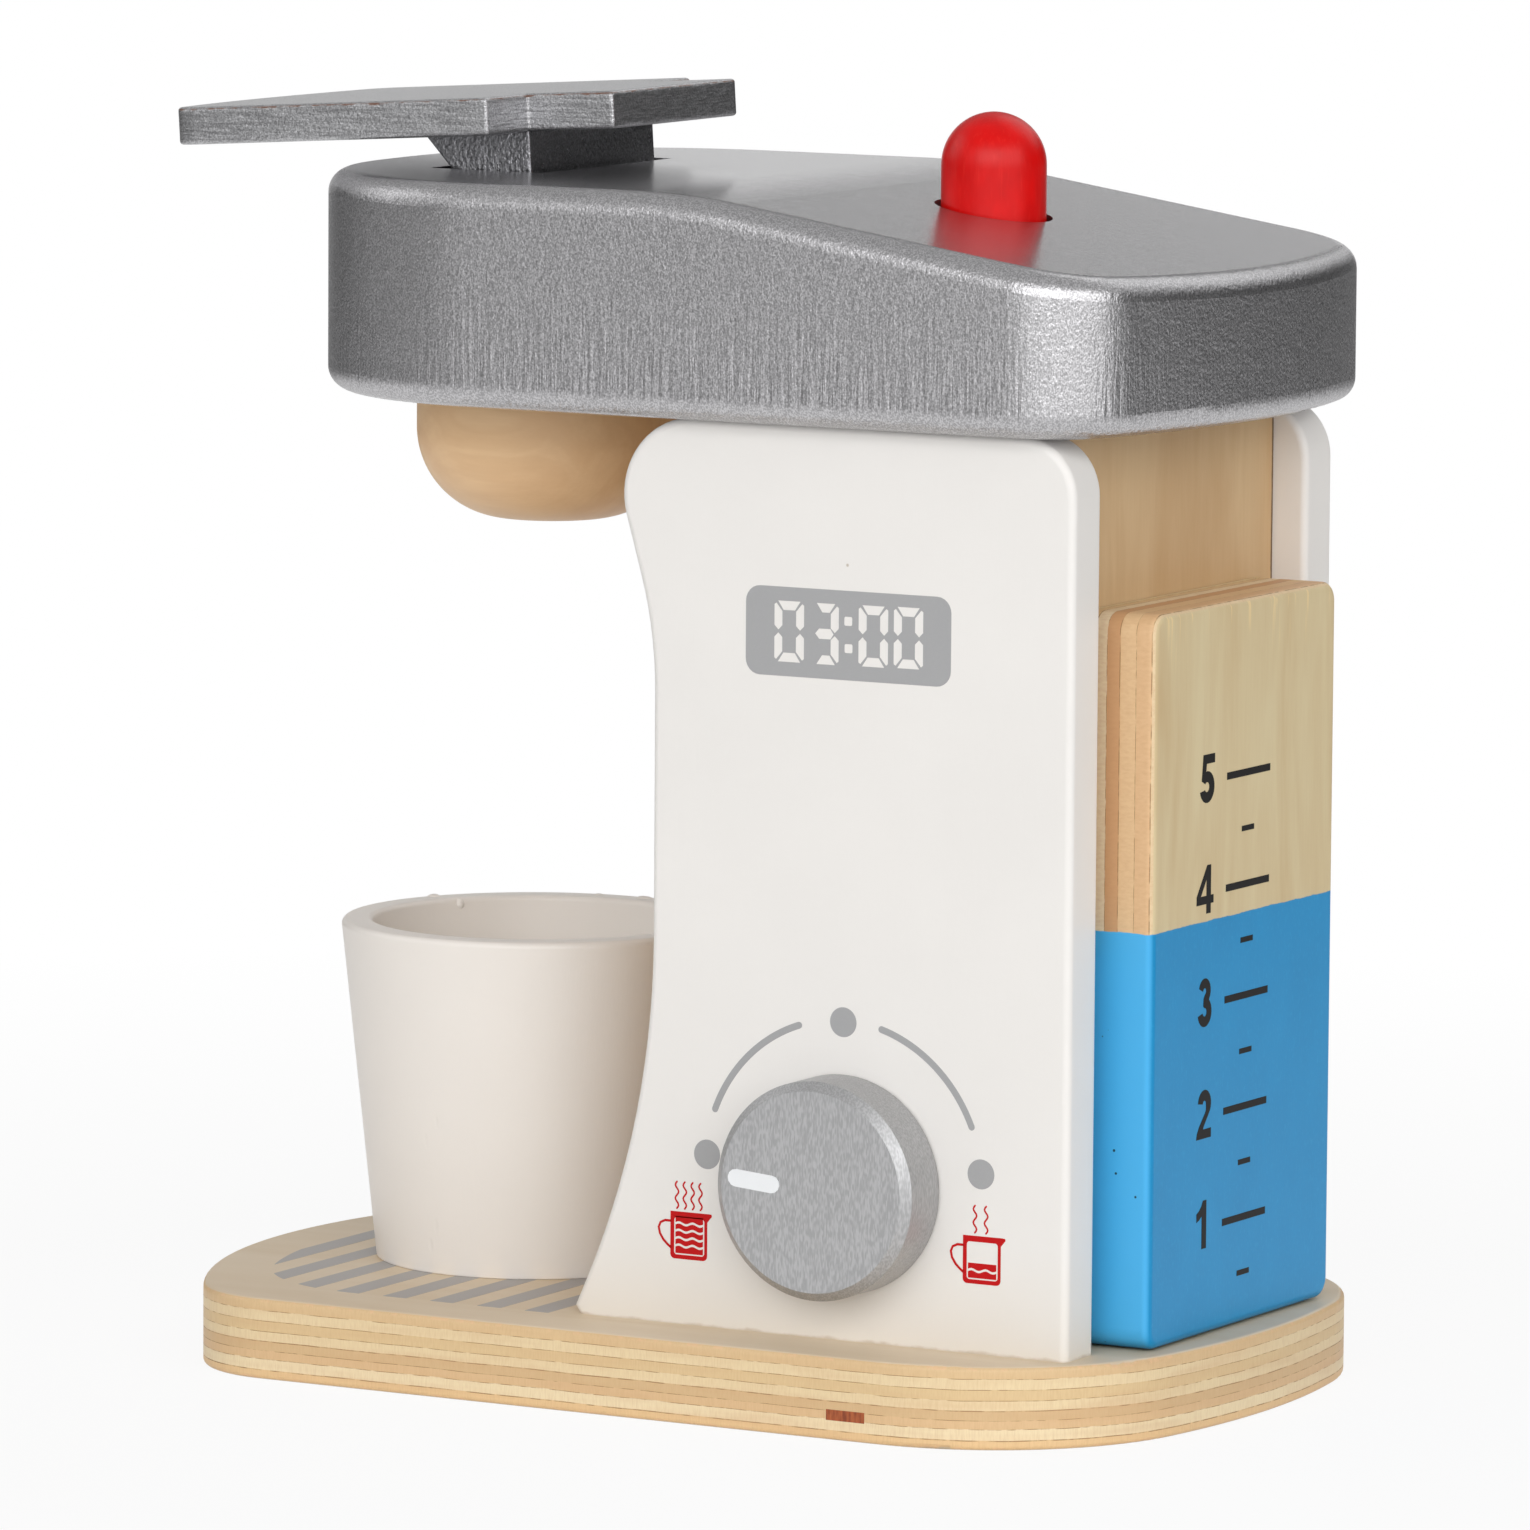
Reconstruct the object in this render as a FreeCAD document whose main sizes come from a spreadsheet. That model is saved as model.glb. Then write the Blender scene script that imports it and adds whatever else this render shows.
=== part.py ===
import FreeCAD, Part
import math
import os
import Sketcher

# Toy coffee maker, in millimetres. X runs from the cup (front, -X) to the water tank (rear, +X).
# The dial faces -Y and +Z is up. The origin is the centre of the base's underside.

doc = FreeCAD.newDocument("toy_coffee_maker")
sheet = doc.addObject("Spreadsheet::Sheet", "Sizes")
Vector = FreeCAD.Vector

# Driving sizes, in the order of the build

SIZES = {
    "base_length": 166.4,
    "base_width": 107.2,
    "base_thick": 12.0,
    "base_front_corner": 17.0,
    "base_front_bow": 84.0,
    "base_rear_corner": 34.0,
    "base_rear_bow": 136.0,
    "base_edge": 0.8,
    "body_width": 81.3,
    "panel_thick": 8.5,
    "panel_height": 131.2,
    "panel_rear": 71.2,
    "panel_waist": 68.1,
    "panel_brow": 73.4,
    "panel_foot": 81.3,
    "panel_brow_corner": 11.3,
    "panel_rear_corner": 8.5,
    "panel_neck_blend": 60.0,
    "panel_neck_angle": 16.2,
    "panel_flare": 124.0,
    "panel_foot_angle": 24.0,
    "panel_edge": 1.1,
    "panel_toe": 1.3,
    "wall_thick": 12.0,
    "wall_front_inset": 5.0,
    "wall_rear_inset": 5.5,
    "head_front": 66.0,
    "head_rear": 81.6,
    "head_width": 92.2,
    "head_thick": 32.4,
    "head_slope": 8.5,
    "head_break": 9.7,
    "head_break_blend": 110.0,
    "head_front_corner": 40.0,
    "head_front_bow": 149.0,
    "head_rear_corner": 14.5,
    "head_rear_bow": 138.5,
    "head_edge": 3.5,
    "spout_radius": 20.0,
    "spout_drop": 20.0,
    "spout_curve": 13.5,
    "spout_place": 37.6,
    "spout_dowel_radius": 4.0,
    "spout_dowel_depth": 12.0,
    "cup_top_radius": 28.9,
    "cup_foot_radius": 23.5,
    "cup_height": 50.9,
    "cup_wall": 4.7,
    "cup_floor": 6.0,
    "cup_lip": 0.9,
    "cup_place": 41.0,
    "cup_side_place": 1.5,
    "lid_thick": 5.5,
    "lid_length": 57.6,
    "lid_width": 59.6,
    "lid_corner": 4.6,
    "lid_bow": 120.0,
    "lid_tab_length": 14.4,
    "lid_tab_width": 36.2,
    "lid_edge": 0.5,
    "lid_pitch": 3.7,
    "lid_block_front": 11.0,
    "lid_block_rear": 6.6,
    "lid_block_slant": 40.0,
    "lid_block_foot": 6.4,
    "lid_rise": 13.1,
    "lid_pin_radius": 2.5,
    "lid_pin_drop": 7.6,
    "lid_pin_place": 36.9,
    "lid_pin_seat": 8.0,
    "lid_dowel_radius": 2.0,
    "lid_dowel_depth": 5.0,
    "lid_dowel_spacing": 22.0,
    "slot_front": 10.4,
    "slot_rear": 8.6,
    "slot_side_gap": 0.9,
    "slot_depth": 16.0,
    "button_radius": 7.65,
    "button_rise": 14.3,
    "button_place": 36.2,
    "button_gap": 0.95,
    "button_travel": 6.0,
    "flange_radius": 10.4,
    "flange_thick": 3.0,
    "flange_gap": 0.6,
    "flange_depth": 9.0,
    "spigot_radius": 4.2,
    "spigot_length": 3.5,
    "plug_thick": 4.8,
    "spring_wire": 0.9,
    "spring_radius": 6.2,
    "spring_turns": 4.5,
    "knob_radius": 15.8,
    "knob_depth": 9.3,
    "knob_chamfer": 1.3,
    "knob_gap": 0.3,
    "knob_place": 34.9,
    "knob_height": 34.7,
    "axle_radius": 4.0,
    "axle_seat": 6.0,
    "axle_inner": 6.5,
    "retainer_radius": 9.0,
    "retainer_skin": 3.5,
    "dial_screw_radius": 1.5,
    "dial_screw_head": 3.0,
    "dial_screw_length": 14.0,
    "tank_width": 57.4,
    "tank_thick": 12.0,
    "tank_height": 105.4,
    "tank_edge": 1.2,
    "tank_corner": 3.0,
    "tank_side_place": 0.4,
    "tank_floor_gap": 0.3,
    "tank_wall_gap": 0.2,
    "peg_radius": 4.0,
    "peg_seat": 9.0,
    "peg_reach": 6.0,
    "peg_height": 42.0,
    "peg_spacing": 52.0,
    "dowel_radius": 3.0,
    "dowel_panel_seat": 5.5,
    "dowel_wall_seat": 12.0,
    "dowel_height": 32.0,
    "dowel_spacing": 78.0,
    "head_dowel_radius": 2.5,
    "head_dowel_seat": 12.0,
    "head_dowel_inset": 15.0,
    "screw_radius": 2.0,
    "screw_head_radius": 4.0,
    "screw_grip": 20.0,
    "screw_inset": 15.0,
    "running_gap": 0.06,
    "blind_gap": 0.5,
}


def text_of(item):
    return item.text if isinstance(item, Size) else repr(float(item))


def value_of(item):
    return item.value if isinstance(item, Size) else float(item)


class Size:
    """A length or an angle in degrees, with the sheet formula that it comes from."""

    def __init__(self, value, text):
        self.value = value
        self.text = text

    def _join(self, left, sign, right, value):
        return Size(value, f"({text_of(left)} {sign} {text_of(right)})")

    def __add__(self, other):
        return self._join(self, "+", other, self.value + value_of(other))

    def __radd__(self, other):
        return self._join(other, "+", self, value_of(other) + self.value)

    def __sub__(self, other):
        return self._join(self, "-", other, self.value - value_of(other))

    def __rsub__(self, other):
        return self._join(other, "-", self, value_of(other) - self.value)

    def __mul__(self, other):
        return self._join(self, "*", other, self.value * value_of(other))

    def __rmul__(self, other):
        return self._join(other, "*", self, value_of(other) * self.value)

    def __truediv__(self, other):
        return self._join(self, "/", other, self.value / value_of(other))

    def __neg__(self):
        return Size(-self.value, f"(0 - {self.text})")


def root(size):
    return Size(math.sqrt(size.value), f"sqrt({size.text})")


def sine(size):
    return Size(math.sin(math.radians(size.value)), f"sin({size.text})")


def cosine(size):
    return Size(math.cos(math.radians(size.value)), f"cos({size.text})")


def fill_sheet():
    sizes = {}
    for row, (name, value) in enumerate(SIZES.items(), start=1):
        sheet.set(f"A{row}", name)
        sheet.set(f"B{row}", str(value))
        sheet.setAlias(f"B{row}", name)
        sizes[name] = Size(value, f"Sizes.{name}")
    doc.recompute()
    return sizes


S = fill_sheet()
ZERO = Size(0.0, "0")

# Places worked out from the driving sizes

base_top = S["base_thick"]
half_body = S["body_width"] / 2
half_inside = half_body - S["panel_thick"]
head_bottom = base_top + S["panel_height"]
head_top = head_bottom + S["head_thick"]
wall_rear = S["panel_rear"] - S["wall_rear_inset"]
wall_front = S["panel_rear"] - S["panel_waist"] + S["wall_front_inset"]
pin_x = -S["lid_pin_place"]
pin_z = head_top - S["lid_pin_drop"]
half_slot = S["lid_tab_width"] / 2 + S["slot_side_gap"]
drop_at_button = (S["button_place"] - S["head_break"]) * sine(S["head_slope"]) / cosine(S["head_slope"])
button_skin = head_top - drop_at_button
flange_top = button_skin - S["flange_depth"]
button_bore = S["flange_radius"] + S["flange_gap"]
plug_top = head_bottom + S["plug_thick"]
tank_front = wall_rear + S["tank_wall_gap"]


class Drawing:
    """A sketch on one of a body's own origin planes, with its constraints bound to the sheet."""

    def __init__(self, body, name, role, offset=None):
        self.sketch = body.newObject("Sketcher::SketchObject", name)
        self.role = role
        plane = [f for f in body.Origin.OriginFeatures if f.Role == role][0]
        self.sketch.AttachmentSupport = [(plane, "")]
        self.sketch.MapMode = "FlatFace"
        if offset is not None:
            self.sketch.setExpression("AttachmentOffset.Base.z", offset.text)

    def fix(self, *what):
        *head, size = what
        index = self.sketch.addConstraint(Sketcher.Constraint(*head, size.value))
        self.sketch.setExpression(f"Constraints[{index}]", size.text)

    def tie(self, *what):
        self.sketch.addConstraint(Sketcher.Constraint(*what))

    def place_x(self, index, end, size):
        if size.value < 0:
            self.fix("DistanceX", index, end, -1, 1, -size)
        else:
            self.fix("DistanceX", -1, 1, index, end, size)

    def place_y(self, index, end, size):
        if size.value < 0:
            self.fix("DistanceY", index, end, -1, 1, -size)
        else:
            self.fix("DistanceY", -1, 1, index, end, size)

    def line(self, start, end):
        first, last = Vector(*start, 0), Vector(*end, 0)
        return self.sketch.addGeometry(Part.LineSegment(first, last), False)

    def arc(self, centre, radius, start_angle, end_angle):
        circle = Part.Circle(Vector(*centre, 0), Vector(0, 0, 1), radius)
        span = Part.ArcOfCircle(circle, math.radians(start_angle), math.radians(end_angle))
        return self.sketch.addGeometry(span, False)

    def circle(self, x, y, radius):
        ring = Part.Circle(Vector(x.value, y.value, 0), Vector(0, 0, 1), radius.value)
        index = self.sketch.addGeometry(ring, False)
        self.fix("Radius", index, radius)
        self.place_point(index, 3, x, y)
        return index

    def place_point(self, index, end, x, y):
        if x.value == 0:
            self.tie("PointOnObject", index, end, -2)
        else:
            self.place_x(index, end, x)
        if y.value == 0:
            self.tie("PointOnObject", index, end, -1)
        else:
            self.place_y(index, end, y)

    def polygon(self, points):
        count = len(points)
        for n, (x, y) in enumerate(points):
            after = points[(n + 1) % count]
            self.line((x.value, y.value), (after[0].value, after[1].value))
        for n, (x, y) in enumerate(points):
            self.tie("Coincident", (n - 1) % count, 2, n, 1)
            self.place_point(n, 1, x, y)


def new_body(label):
    body = doc.addObject("PartDesign::Body", label)
    body.Label = label
    return body


def pad(body, drawing, name, length, side="One side", back=False):
    feature = body.newObject("PartDesign::Pad", name)
    feature.Profile = drawing.sketch
    feature.SideType = side
    feature.Reversed = back
    feature.setExpression("Length", length.text)
    drawing.sketch.Visibility = False
    doc.recompute()
    return feature


def pocket(body, drawing, name, length, side="One side", back=False):
    before = body.Shape.Volume
    feature = body.newObject("PartDesign::Pocket", name)
    feature.Profile = drawing.sketch
    feature.SideType = side
    feature.Reversed = back
    feature.setExpression("Length", length.text)
    drawing.sketch.Visibility = False
    doc.recompute()
    if body.Shape.Volume > before - 0.01:
        raise RuntimeError(f"{body.Label}: {name} cuts nothing")
    return feature


def revolve(body, drawing, name):
    feature = body.newObject("PartDesign::Revolution", name)
    feature.Profile = drawing.sketch
    feature.ReferenceAxis = (drawing.sketch, ["V_Axis"])
    feature.Angle = 360.0
    drawing.sketch.Visibility = False
    doc.recompute()
    return feature


def dress(body, kind, name, edges, size):
    before = body.Tip
    feature = body.newObject(f"PartDesign::{kind}", name)
    feature.Base = (before, edges)
    setting = "Radius" if kind == "Fillet" else "Size"
    feature.setExpression(setting, size.text)
    doc.recompute()
    return feature


def edges_where(body, test):
    shape = body.Tip.Shape
    return [f"Edge{n}" for n, edge in enumerate(shape.Edges, start=1) if test(edge)]


def is_level(edge, axis, place, slack=0.001):
    low, high = getattr(edge.BoundBox, axis + "Min"), getattr(edge.BoundBox, axis + "Max")
    return abs(low - place) < slack and abs(high - place) < slack


# Outlines shared by several pieces


def bowed_outline(drawing, front, rear, half_width, front_corner, front_bow, rear_corner, rear_bow):
    """A long outline with straight sides: each end is a wide bow between two corner arcs."""
    ends = []
    for sign, apex, corner, bow in ((1, rear, rear_corner, rear_bow), (-1, front, front_corner, front_bow)):
        centre = apex.value - sign * bow.value
        across = half_width.value - corner.value
        along = math.sqrt((bow.value - corner.value) ** 2 - across**2)
        turn = math.degrees(math.atan2(across, along))
        ends.append((centre, centre + sign * along, across, turn, corner.value, bow.value))
    rear_end, front_end = ends
    half = half_width.value
    drawing.line((front_end[1], -half), (rear_end[1], -half))
    drawing.arc((rear_end[1], -rear_end[2]), rear_end[4], 270, 360 - rear_end[3])
    drawing.arc((rear_end[0], 0), rear_end[5], -rear_end[3], rear_end[3])
    drawing.arc((rear_end[1], rear_end[2]), rear_end[4], rear_end[3], 90)
    drawing.line((rear_end[1], half), (front_end[1], half))
    drawing.arc((front_end[1], front_end[2]), front_end[4], 90, 180 - front_end[3])
    drawing.arc((front_end[0], 0), front_end[5], 180 - front_end[3], 180 + front_end[3])
    drawing.arc((front_end[1], -front_end[2]), front_end[4], 180 + front_end[3], 270)
    for n in range(8):
        drawing.tie("Tangent", n, 2, (n + 1) % 8, 1)
    for side, place in ((0, -half_width), (4, half_width)):
        drawing.tie("Horizontal", side)
        drawing.place_y(side, 1, place)
    for index, radius in ((1, rear_corner), (3, rear_corner), (5, front_corner), (7, front_corner)):
        drawing.fix("Radius", index, radius)
    for index, radius, centre in ((2, rear_bow, rear - rear_bow), (6, front_bow, front + front_bow)):
        drawing.fix("Radius", index, radius)
        drawing.tie("PointOnObject", index, 3, -1)
        drawing.place_x(index, 3, centre)


def panel_outline(drawing):
    """The side panel seen from the dial side: a brow over the spout, a waist and a flared foot."""
    rear, bottom, top = S["panel_rear"].value, base_top.value, head_bottom.value
    waist = rear - S["panel_waist"].value
    brow = rear - S["panel_brow"].value
    foot = rear - S["panel_foot"].value
    brow_r, rear_r = S["panel_brow_corner"].value, S["panel_rear_corner"].value
    neck_r, flare_r = S["panel_neck_blend"].value, S["panel_flare"].value
    neck, toe = S["panel_neck_angle"].value, S["panel_foot_angle"].value
    sin_n, cos_n = math.sin(math.radians(neck)), math.cos(math.radians(neck))
    sin_t, cos_t = math.sin(math.radians(toe)), math.cos(math.radians(toe))
    brow_centre = (brow + brow_r, top - brow_r)
    neck_start = (brow_centre[0] - brow_r * cos_n, brow_centre[1] - brow_r * sin_n)
    blend_in = waist - neck_r * (1 - cos_n)
    neck_end = (blend_in, neck_start[1] - (blend_in - neck_start[0]) * cos_n / sin_n)
    waist_top = neck_end[1] - neck_r * sin_n
    flare_out = waist - flare_r * (1 - cos_t)
    flare_low = bottom + (flare_out - foot) * cos_t / sin_t
    waist_low = flare_low + flare_r * sin_t
    drawing.line((foot, bottom), (rear, bottom))
    drawing.line((rear, bottom), (rear, top - rear_r))
    drawing.arc((rear - rear_r, top - rear_r), rear_r, 0, 90)
    drawing.line((rear - rear_r, top), (brow_centre[0], top))
    drawing.arc(brow_centre, brow_r, 90, 180 + neck)
    drawing.line(neck_start, neck_end)
    drawing.arc((waist - neck_r, waist_top), neck_r, 0, neck)
    drawing.line((waist, waist_top), (waist, waist_low))
    drawing.arc((waist - flare_r, waist_low), flare_r, 360 - toe, 360)
    drawing.line((flare_out, flare_low), (foot, bottom))
    drawing.tie("Coincident", 0, 2, 1, 1)
    drawing.tie("Tangent", 1, 2, 2, 1)
    drawing.tie("Tangent", 2, 2, 3, 1)
    drawing.tie("Tangent", 3, 2, 4, 1)
    drawing.tie("Tangent", 4, 2, 5, 1)
    drawing.tie("Tangent", 5, 2, 6, 2)
    drawing.tie("Tangent", 6, 1, 7, 1)
    drawing.tie("Tangent", 7, 2, 8, 2)
    drawing.tie("Tangent", 8, 1, 9, 1)
    drawing.tie("Coincident", 9, 2, 0, 1)
    for level in (0, 3):
        drawing.tie("Horizontal", level)
    for upright in (1, 7):
        drawing.tie("Vertical", upright)
    drawing.place_y(0, 1, base_top)
    drawing.place_y(3, 1, head_bottom)
    drawing.place_x(0, 1, S["panel_rear"] - S["panel_foot"])
    drawing.place_x(1, 1, S["panel_rear"])
    drawing.place_x(7, 1, S["panel_rear"] - S["panel_waist"])
    drawing.place_x(4, 3, S["panel_rear"] - S["panel_brow"] + S["panel_brow_corner"])
    sizes = (("panel_rear_corner", 2), ("panel_brow_corner", 4), ("panel_neck_blend", 6), ("panel_flare", 8))
    for name, index in sizes:
        drawing.fix("Radius", index, S[name])
    drawing.fix("DistanceX", 4, 3, 4, 2, -(S["panel_brow_corner"] * cosine(S["panel_neck_angle"])))
    drawing.fix("DistanceX", 8, 3, 8, 1, S["panel_flare"] * cosine(S["panel_foot_angle"]))


# Places where pieces are joined

dowel_levels = [base_top + S["dowel_height"], base_top + S["dowel_height"] + S["dowel_spacing"]]
wall_middles = [wall_front + S["wall_thick"] / 2, wall_rear - S["wall_thick"] / 2]
panel_middle = half_body - S["panel_thick"] / 2
head_dowel_places = [
    S["panel_rear"] - S["panel_waist"] + S["head_dowel_inset"],
    S["panel_rear"] - S["head_dowel_inset"],
]
screw_places = [
    S["panel_rear"] - S["panel_waist"] + S["screw_inset"],
    S["panel_rear"] - S["screw_inset"],
]
screw_sites = [(x, y) for x in screw_places for y in (-panel_middle, panel_middle)]
screw_sites += [(x, ZERO) for x in wall_middles]
peg_levels = [base_top + S["peg_height"], base_top + S["peg_height"] + S["peg_spacing"]]


def make_base():
    body = new_body("base_board")
    plan = Drawing(body, "base_plan", "XY_Plane")
    half = S["base_length"] / 2
    bowed_outline(
        plan, -half, half, S["base_width"] / 2,
        S["base_front_corner"], S["base_front_bow"], S["base_rear_corner"], S["base_rear_bow"],
    )
    pad(body, plan, "board", S["base_thick"])
    faces = (0.0, S["base_thick"].value)
    rims = edges_where(body, lambda e: any(is_level(e, "Z", z) for z in faces))
    dress(body, "Fillet", "eased_edges", rims, S["base_edge"])
    holes = Drawing(body, "screw_holes", "XY_Plane")
    for x, y in screw_sites:
        holes.circle(x, y, S["screw_radius"])
    pocket(body, holes, "screw_bores", S["base_thick"], back=True)
    for n, (x, y) in enumerate(screw_sites):
        countersink(body, f"countersink_{n}", x, y)
    return body


def countersink(body, name, x, y):
    """A 90 degree cone from the underside, for a flush screw head."""
    cone = body.newObject("PartDesign::SubtractiveCone", name)
    cone.setExpression("Radius1", S["screw_head_radius"].text)
    cone.setExpression("Radius2", S["screw_radius"].text)
    cone.setExpression("Height", (S["screw_head_radius"] - S["screw_radius"]).text)
    plane = [f for f in body.Origin.OriginFeatures if f.Role == "XY_Plane"][0]
    cone.AttachmentSupport = [(plane, "")]
    cone.MapMode = "FlatFace"
    cone.setExpression("AttachmentOffset.Base.x", x.text)
    cone.setExpression("AttachmentOffset.Base.y", y.text)
    doc.recompute()


def make_panel(label, side):
    """side is -1 for the dial side and +1 for the other."""
    body = new_body(label)
    outline = Drawing(body, "outline", "XZ_Plane", -half_body if side > 0 else half_inside)
    panel_outline(outline)
    pad(body, outline, "board", S["panel_thick"])
    front = (S["panel_rear"] - S["panel_foot"]).value
    toe = edges_where(body, lambda e: is_level(e, "Z", base_top.value) and is_level(e, "X", front))
    dress(body, "Chamfer", "cut_toe", toe, S["panel_toe"])
    outer, inner = side * half_body.value, side * half_inside.value
    rims = edges_where(
        body,
        lambda e: (is_level(e, "Y", outer) or is_level(e, "Y", inner)) and not is_level(e, "Z", base_top.value),
    )
    dress(body, "Fillet", "eased_edges", rims, S["panel_edge"])
    seats = Drawing(body, "wall_dowel_seats", "XZ_Plane", -half_inside if side > 0 else half_inside)
    for x in wall_middles:
        for z in dowel_levels:
            seats.circle(x, z, S["dowel_radius"])
    pocket(body, seats, "wall_dowel_holes", S["dowel_panel_seat"] + S["blind_gap"], back=side < 0)
    top = Drawing(body, "head_dowel_seats", "XY_Plane", head_bottom)
    for x in head_dowel_places:
        top.circle(x, side * panel_middle, S["head_dowel_radius"])
    pocket(body, top, "head_dowel_holes", S["head_dowel_seat"] + S["blind_gap"])
    foot = Drawing(body, "screw_seats", "XY_Plane", base_top)
    for x in screw_places:
        foot.circle(x, side * panel_middle, S["screw_radius"])
    pocket(body, foot, "screw_holes", S["screw_grip"] + S["blind_gap"], back=True)
    if side < 0:
        bearing = Drawing(body, "axle_bearing", "XZ_Plane", half_body)
        bearing.circle(S["knob_place"], S["knob_height"], S["axle_radius"] + S["running_gap"])
        pocket(body, bearing, "axle_bore", S["panel_thick"])
    return body


def make_wall(label, front, middle, pegged):
    body = new_body(label)
    plan = Drawing(body, "plan", "XY_Plane", base_top)
    rear = front + S["wall_thick"]
    plan.polygon([(front, -half_inside), (rear, -half_inside), (rear, half_inside), (front, half_inside)])
    pad(body, plan, "board", S["panel_height"])
    for name, offset, back in (("near", half_inside, False), ("far", -half_inside, True)):
        seats = Drawing(body, f"{name}_dowel_seats", "XZ_Plane", offset)
        for z in dowel_levels:
            seats.circle(middle, z, S["dowel_radius"])
        pocket(body, seats, f"{name}_dowel_holes", S["dowel_wall_seat"] + S["blind_gap"], back=back)
    foot = Drawing(body, "screw_seat", "XY_Plane", base_top)
    foot.circle(middle, ZERO, S["screw_radius"])
    pocket(body, foot, "screw_hole", S["screw_grip"] + S["blind_gap"], back=True)
    if pegged:
        pegs = Drawing(body, "peg_seats", "YZ_Plane", rear)
        for z in peg_levels:
            pegs.circle(ZERO, z, S["peg_radius"])
        pocket(body, pegs, "peg_holes", S["peg_seat"])
    return body


def slope_cut(drawing):
    """The wedge above the head's sloping top, which leaves the flat through a wide blend."""
    blend, slope = S["head_break_blend"], S["head_slope"]
    reach = blend * sine(slope / 2) / cosine(slope / 2)
    start_x = S["head_break"] - reach
    top, run = head_top.value, S["head_rear"].value + S["head_edge"].value
    low = top - (run - S["head_break"].value) * math.tan(math.radians(slope.value))
    angle = slope.value
    centre = (start_x.value, top - blend.value)
    blend_end = (
        centre[0] + blend.value * math.sin(math.radians(angle)),
        centre[1] + blend.value * math.cos(math.radians(angle)),
    )
    drawing.arc(centre, blend.value, 90 - angle, 90)
    drawing.line(blend_end, (run, low))
    drawing.line((run, low), (run, top))
    drawing.line((run, top), (centre[0], top))
    drawing.tie("Tangent", 0, 1, 1, 1)
    drawing.tie("Coincident", 1, 2, 2, 1)
    drawing.tie("Coincident", 2, 2, 3, 1)
    drawing.tie("Coincident", 3, 2, 0, 2)
    drawing.tie("Vertical", 2)
    drawing.tie("Horizontal", 3)
    drawing.place_x(0, 3, start_x)
    drawing.place_x(0, 2, start_x)
    drawing.place_y(0, 2, head_top)
    drawing.fix("Radius", 0, blend)
    drawing.place_x(2, 1, S["head_rear"] + S["head_edge"])
    drawing.fix("DistanceX", 0, 3, 0, 1, blend * sine(slope))


def make_head():
    body = new_body("head_block")
    plan = Drawing(body, "head_plan", "XY_Plane", head_bottom)
    bowed_outline(
        plan, -S["head_front"], S["head_rear"], S["head_width"] / 2,
        S["head_front_corner"], S["head_front_bow"], S["head_rear_corner"], S["head_rear_bow"],
    )
    pad(body, plan, "block", S["head_thick"])
    wedge = Drawing(body, "slope", "XZ_Plane")
    slope_cut(wedge)
    pocket(body, wedge, "sloping_top", S["head_width"] + S["head_edge"], side="Symmetric")
    rims = edges_where(body, lambda e: not is_upright(e) and not is_across(e))
    dress(body, "Fillet", "rounded_edges", rims, S["head_edge"])
    slot = Drawing(body, "slot_plan", "XY_Plane", head_top)
    front, rear = pin_x - S["slot_front"], pin_x + S["slot_rear"]
    slot.polygon([(front, -half_slot), (rear, -half_slot), (rear, half_slot), (front, half_slot)])
    pocket(body, slot, "lid_slot", S["slot_depth"])
    pin = Drawing(body, "pin_seat", "XZ_Plane", -S["head_width"] / 2)
    pin.circle(pin_x, pin_z, S["lid_pin_radius"])
    pocket(body, pin, "pin_bore", S["head_width"] / 2 + half_slot + S["lid_pin_seat"], back=True)
    button_bores(body)
    spout = Drawing(body, "spout_seat", "XY_Plane", head_bottom)
    spout.circle(-S["spout_place"], ZERO, S["spout_dowel_radius"])
    pocket(body, spout, "spout_dowel_hole", S["spout_dowel_depth"] + S["blind_gap"], back=True)
    dowels = Drawing(body, "dowel_seats", "XY_Plane", head_bottom)
    for x in head_dowel_places:
        for y in (-panel_middle, panel_middle):
            dowels.circle(x, y, S["head_dowel_radius"])
    pocket(body, dowels, "dowel_holes", S["head_dowel_seat"] + S["blind_gap"], back=True)
    return body


def is_upright(edge):
    box = edge.BoundBox
    return box.XLength < 0.001 and box.YLength < 0.001


def is_across(edge):
    """The two lines across the top where the flat, the blend and the slope meet."""
    box = edge.BoundBox
    return box.XLength < 0.001 and box.ZLength < 0.001


def button_bores(body):
    """A clearance hole from the top, over a wider bore for the flange, the spring and the plug."""
    neck = Drawing(body, "button_hole", "XY_Plane", head_bottom)
    neck.circle(S["button_place"], ZERO, S["button_radius"] + S["button_gap"])
    pocket(body, neck, "button_neck", S["head_thick"], back=True)
    well = Drawing(body, "spring_well", "XY_Plane", head_bottom)
    well.circle(S["button_place"], ZERO, button_bore)
    pocket(body, well, "spring_bore", flange_top - head_bottom, back=True)


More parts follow.
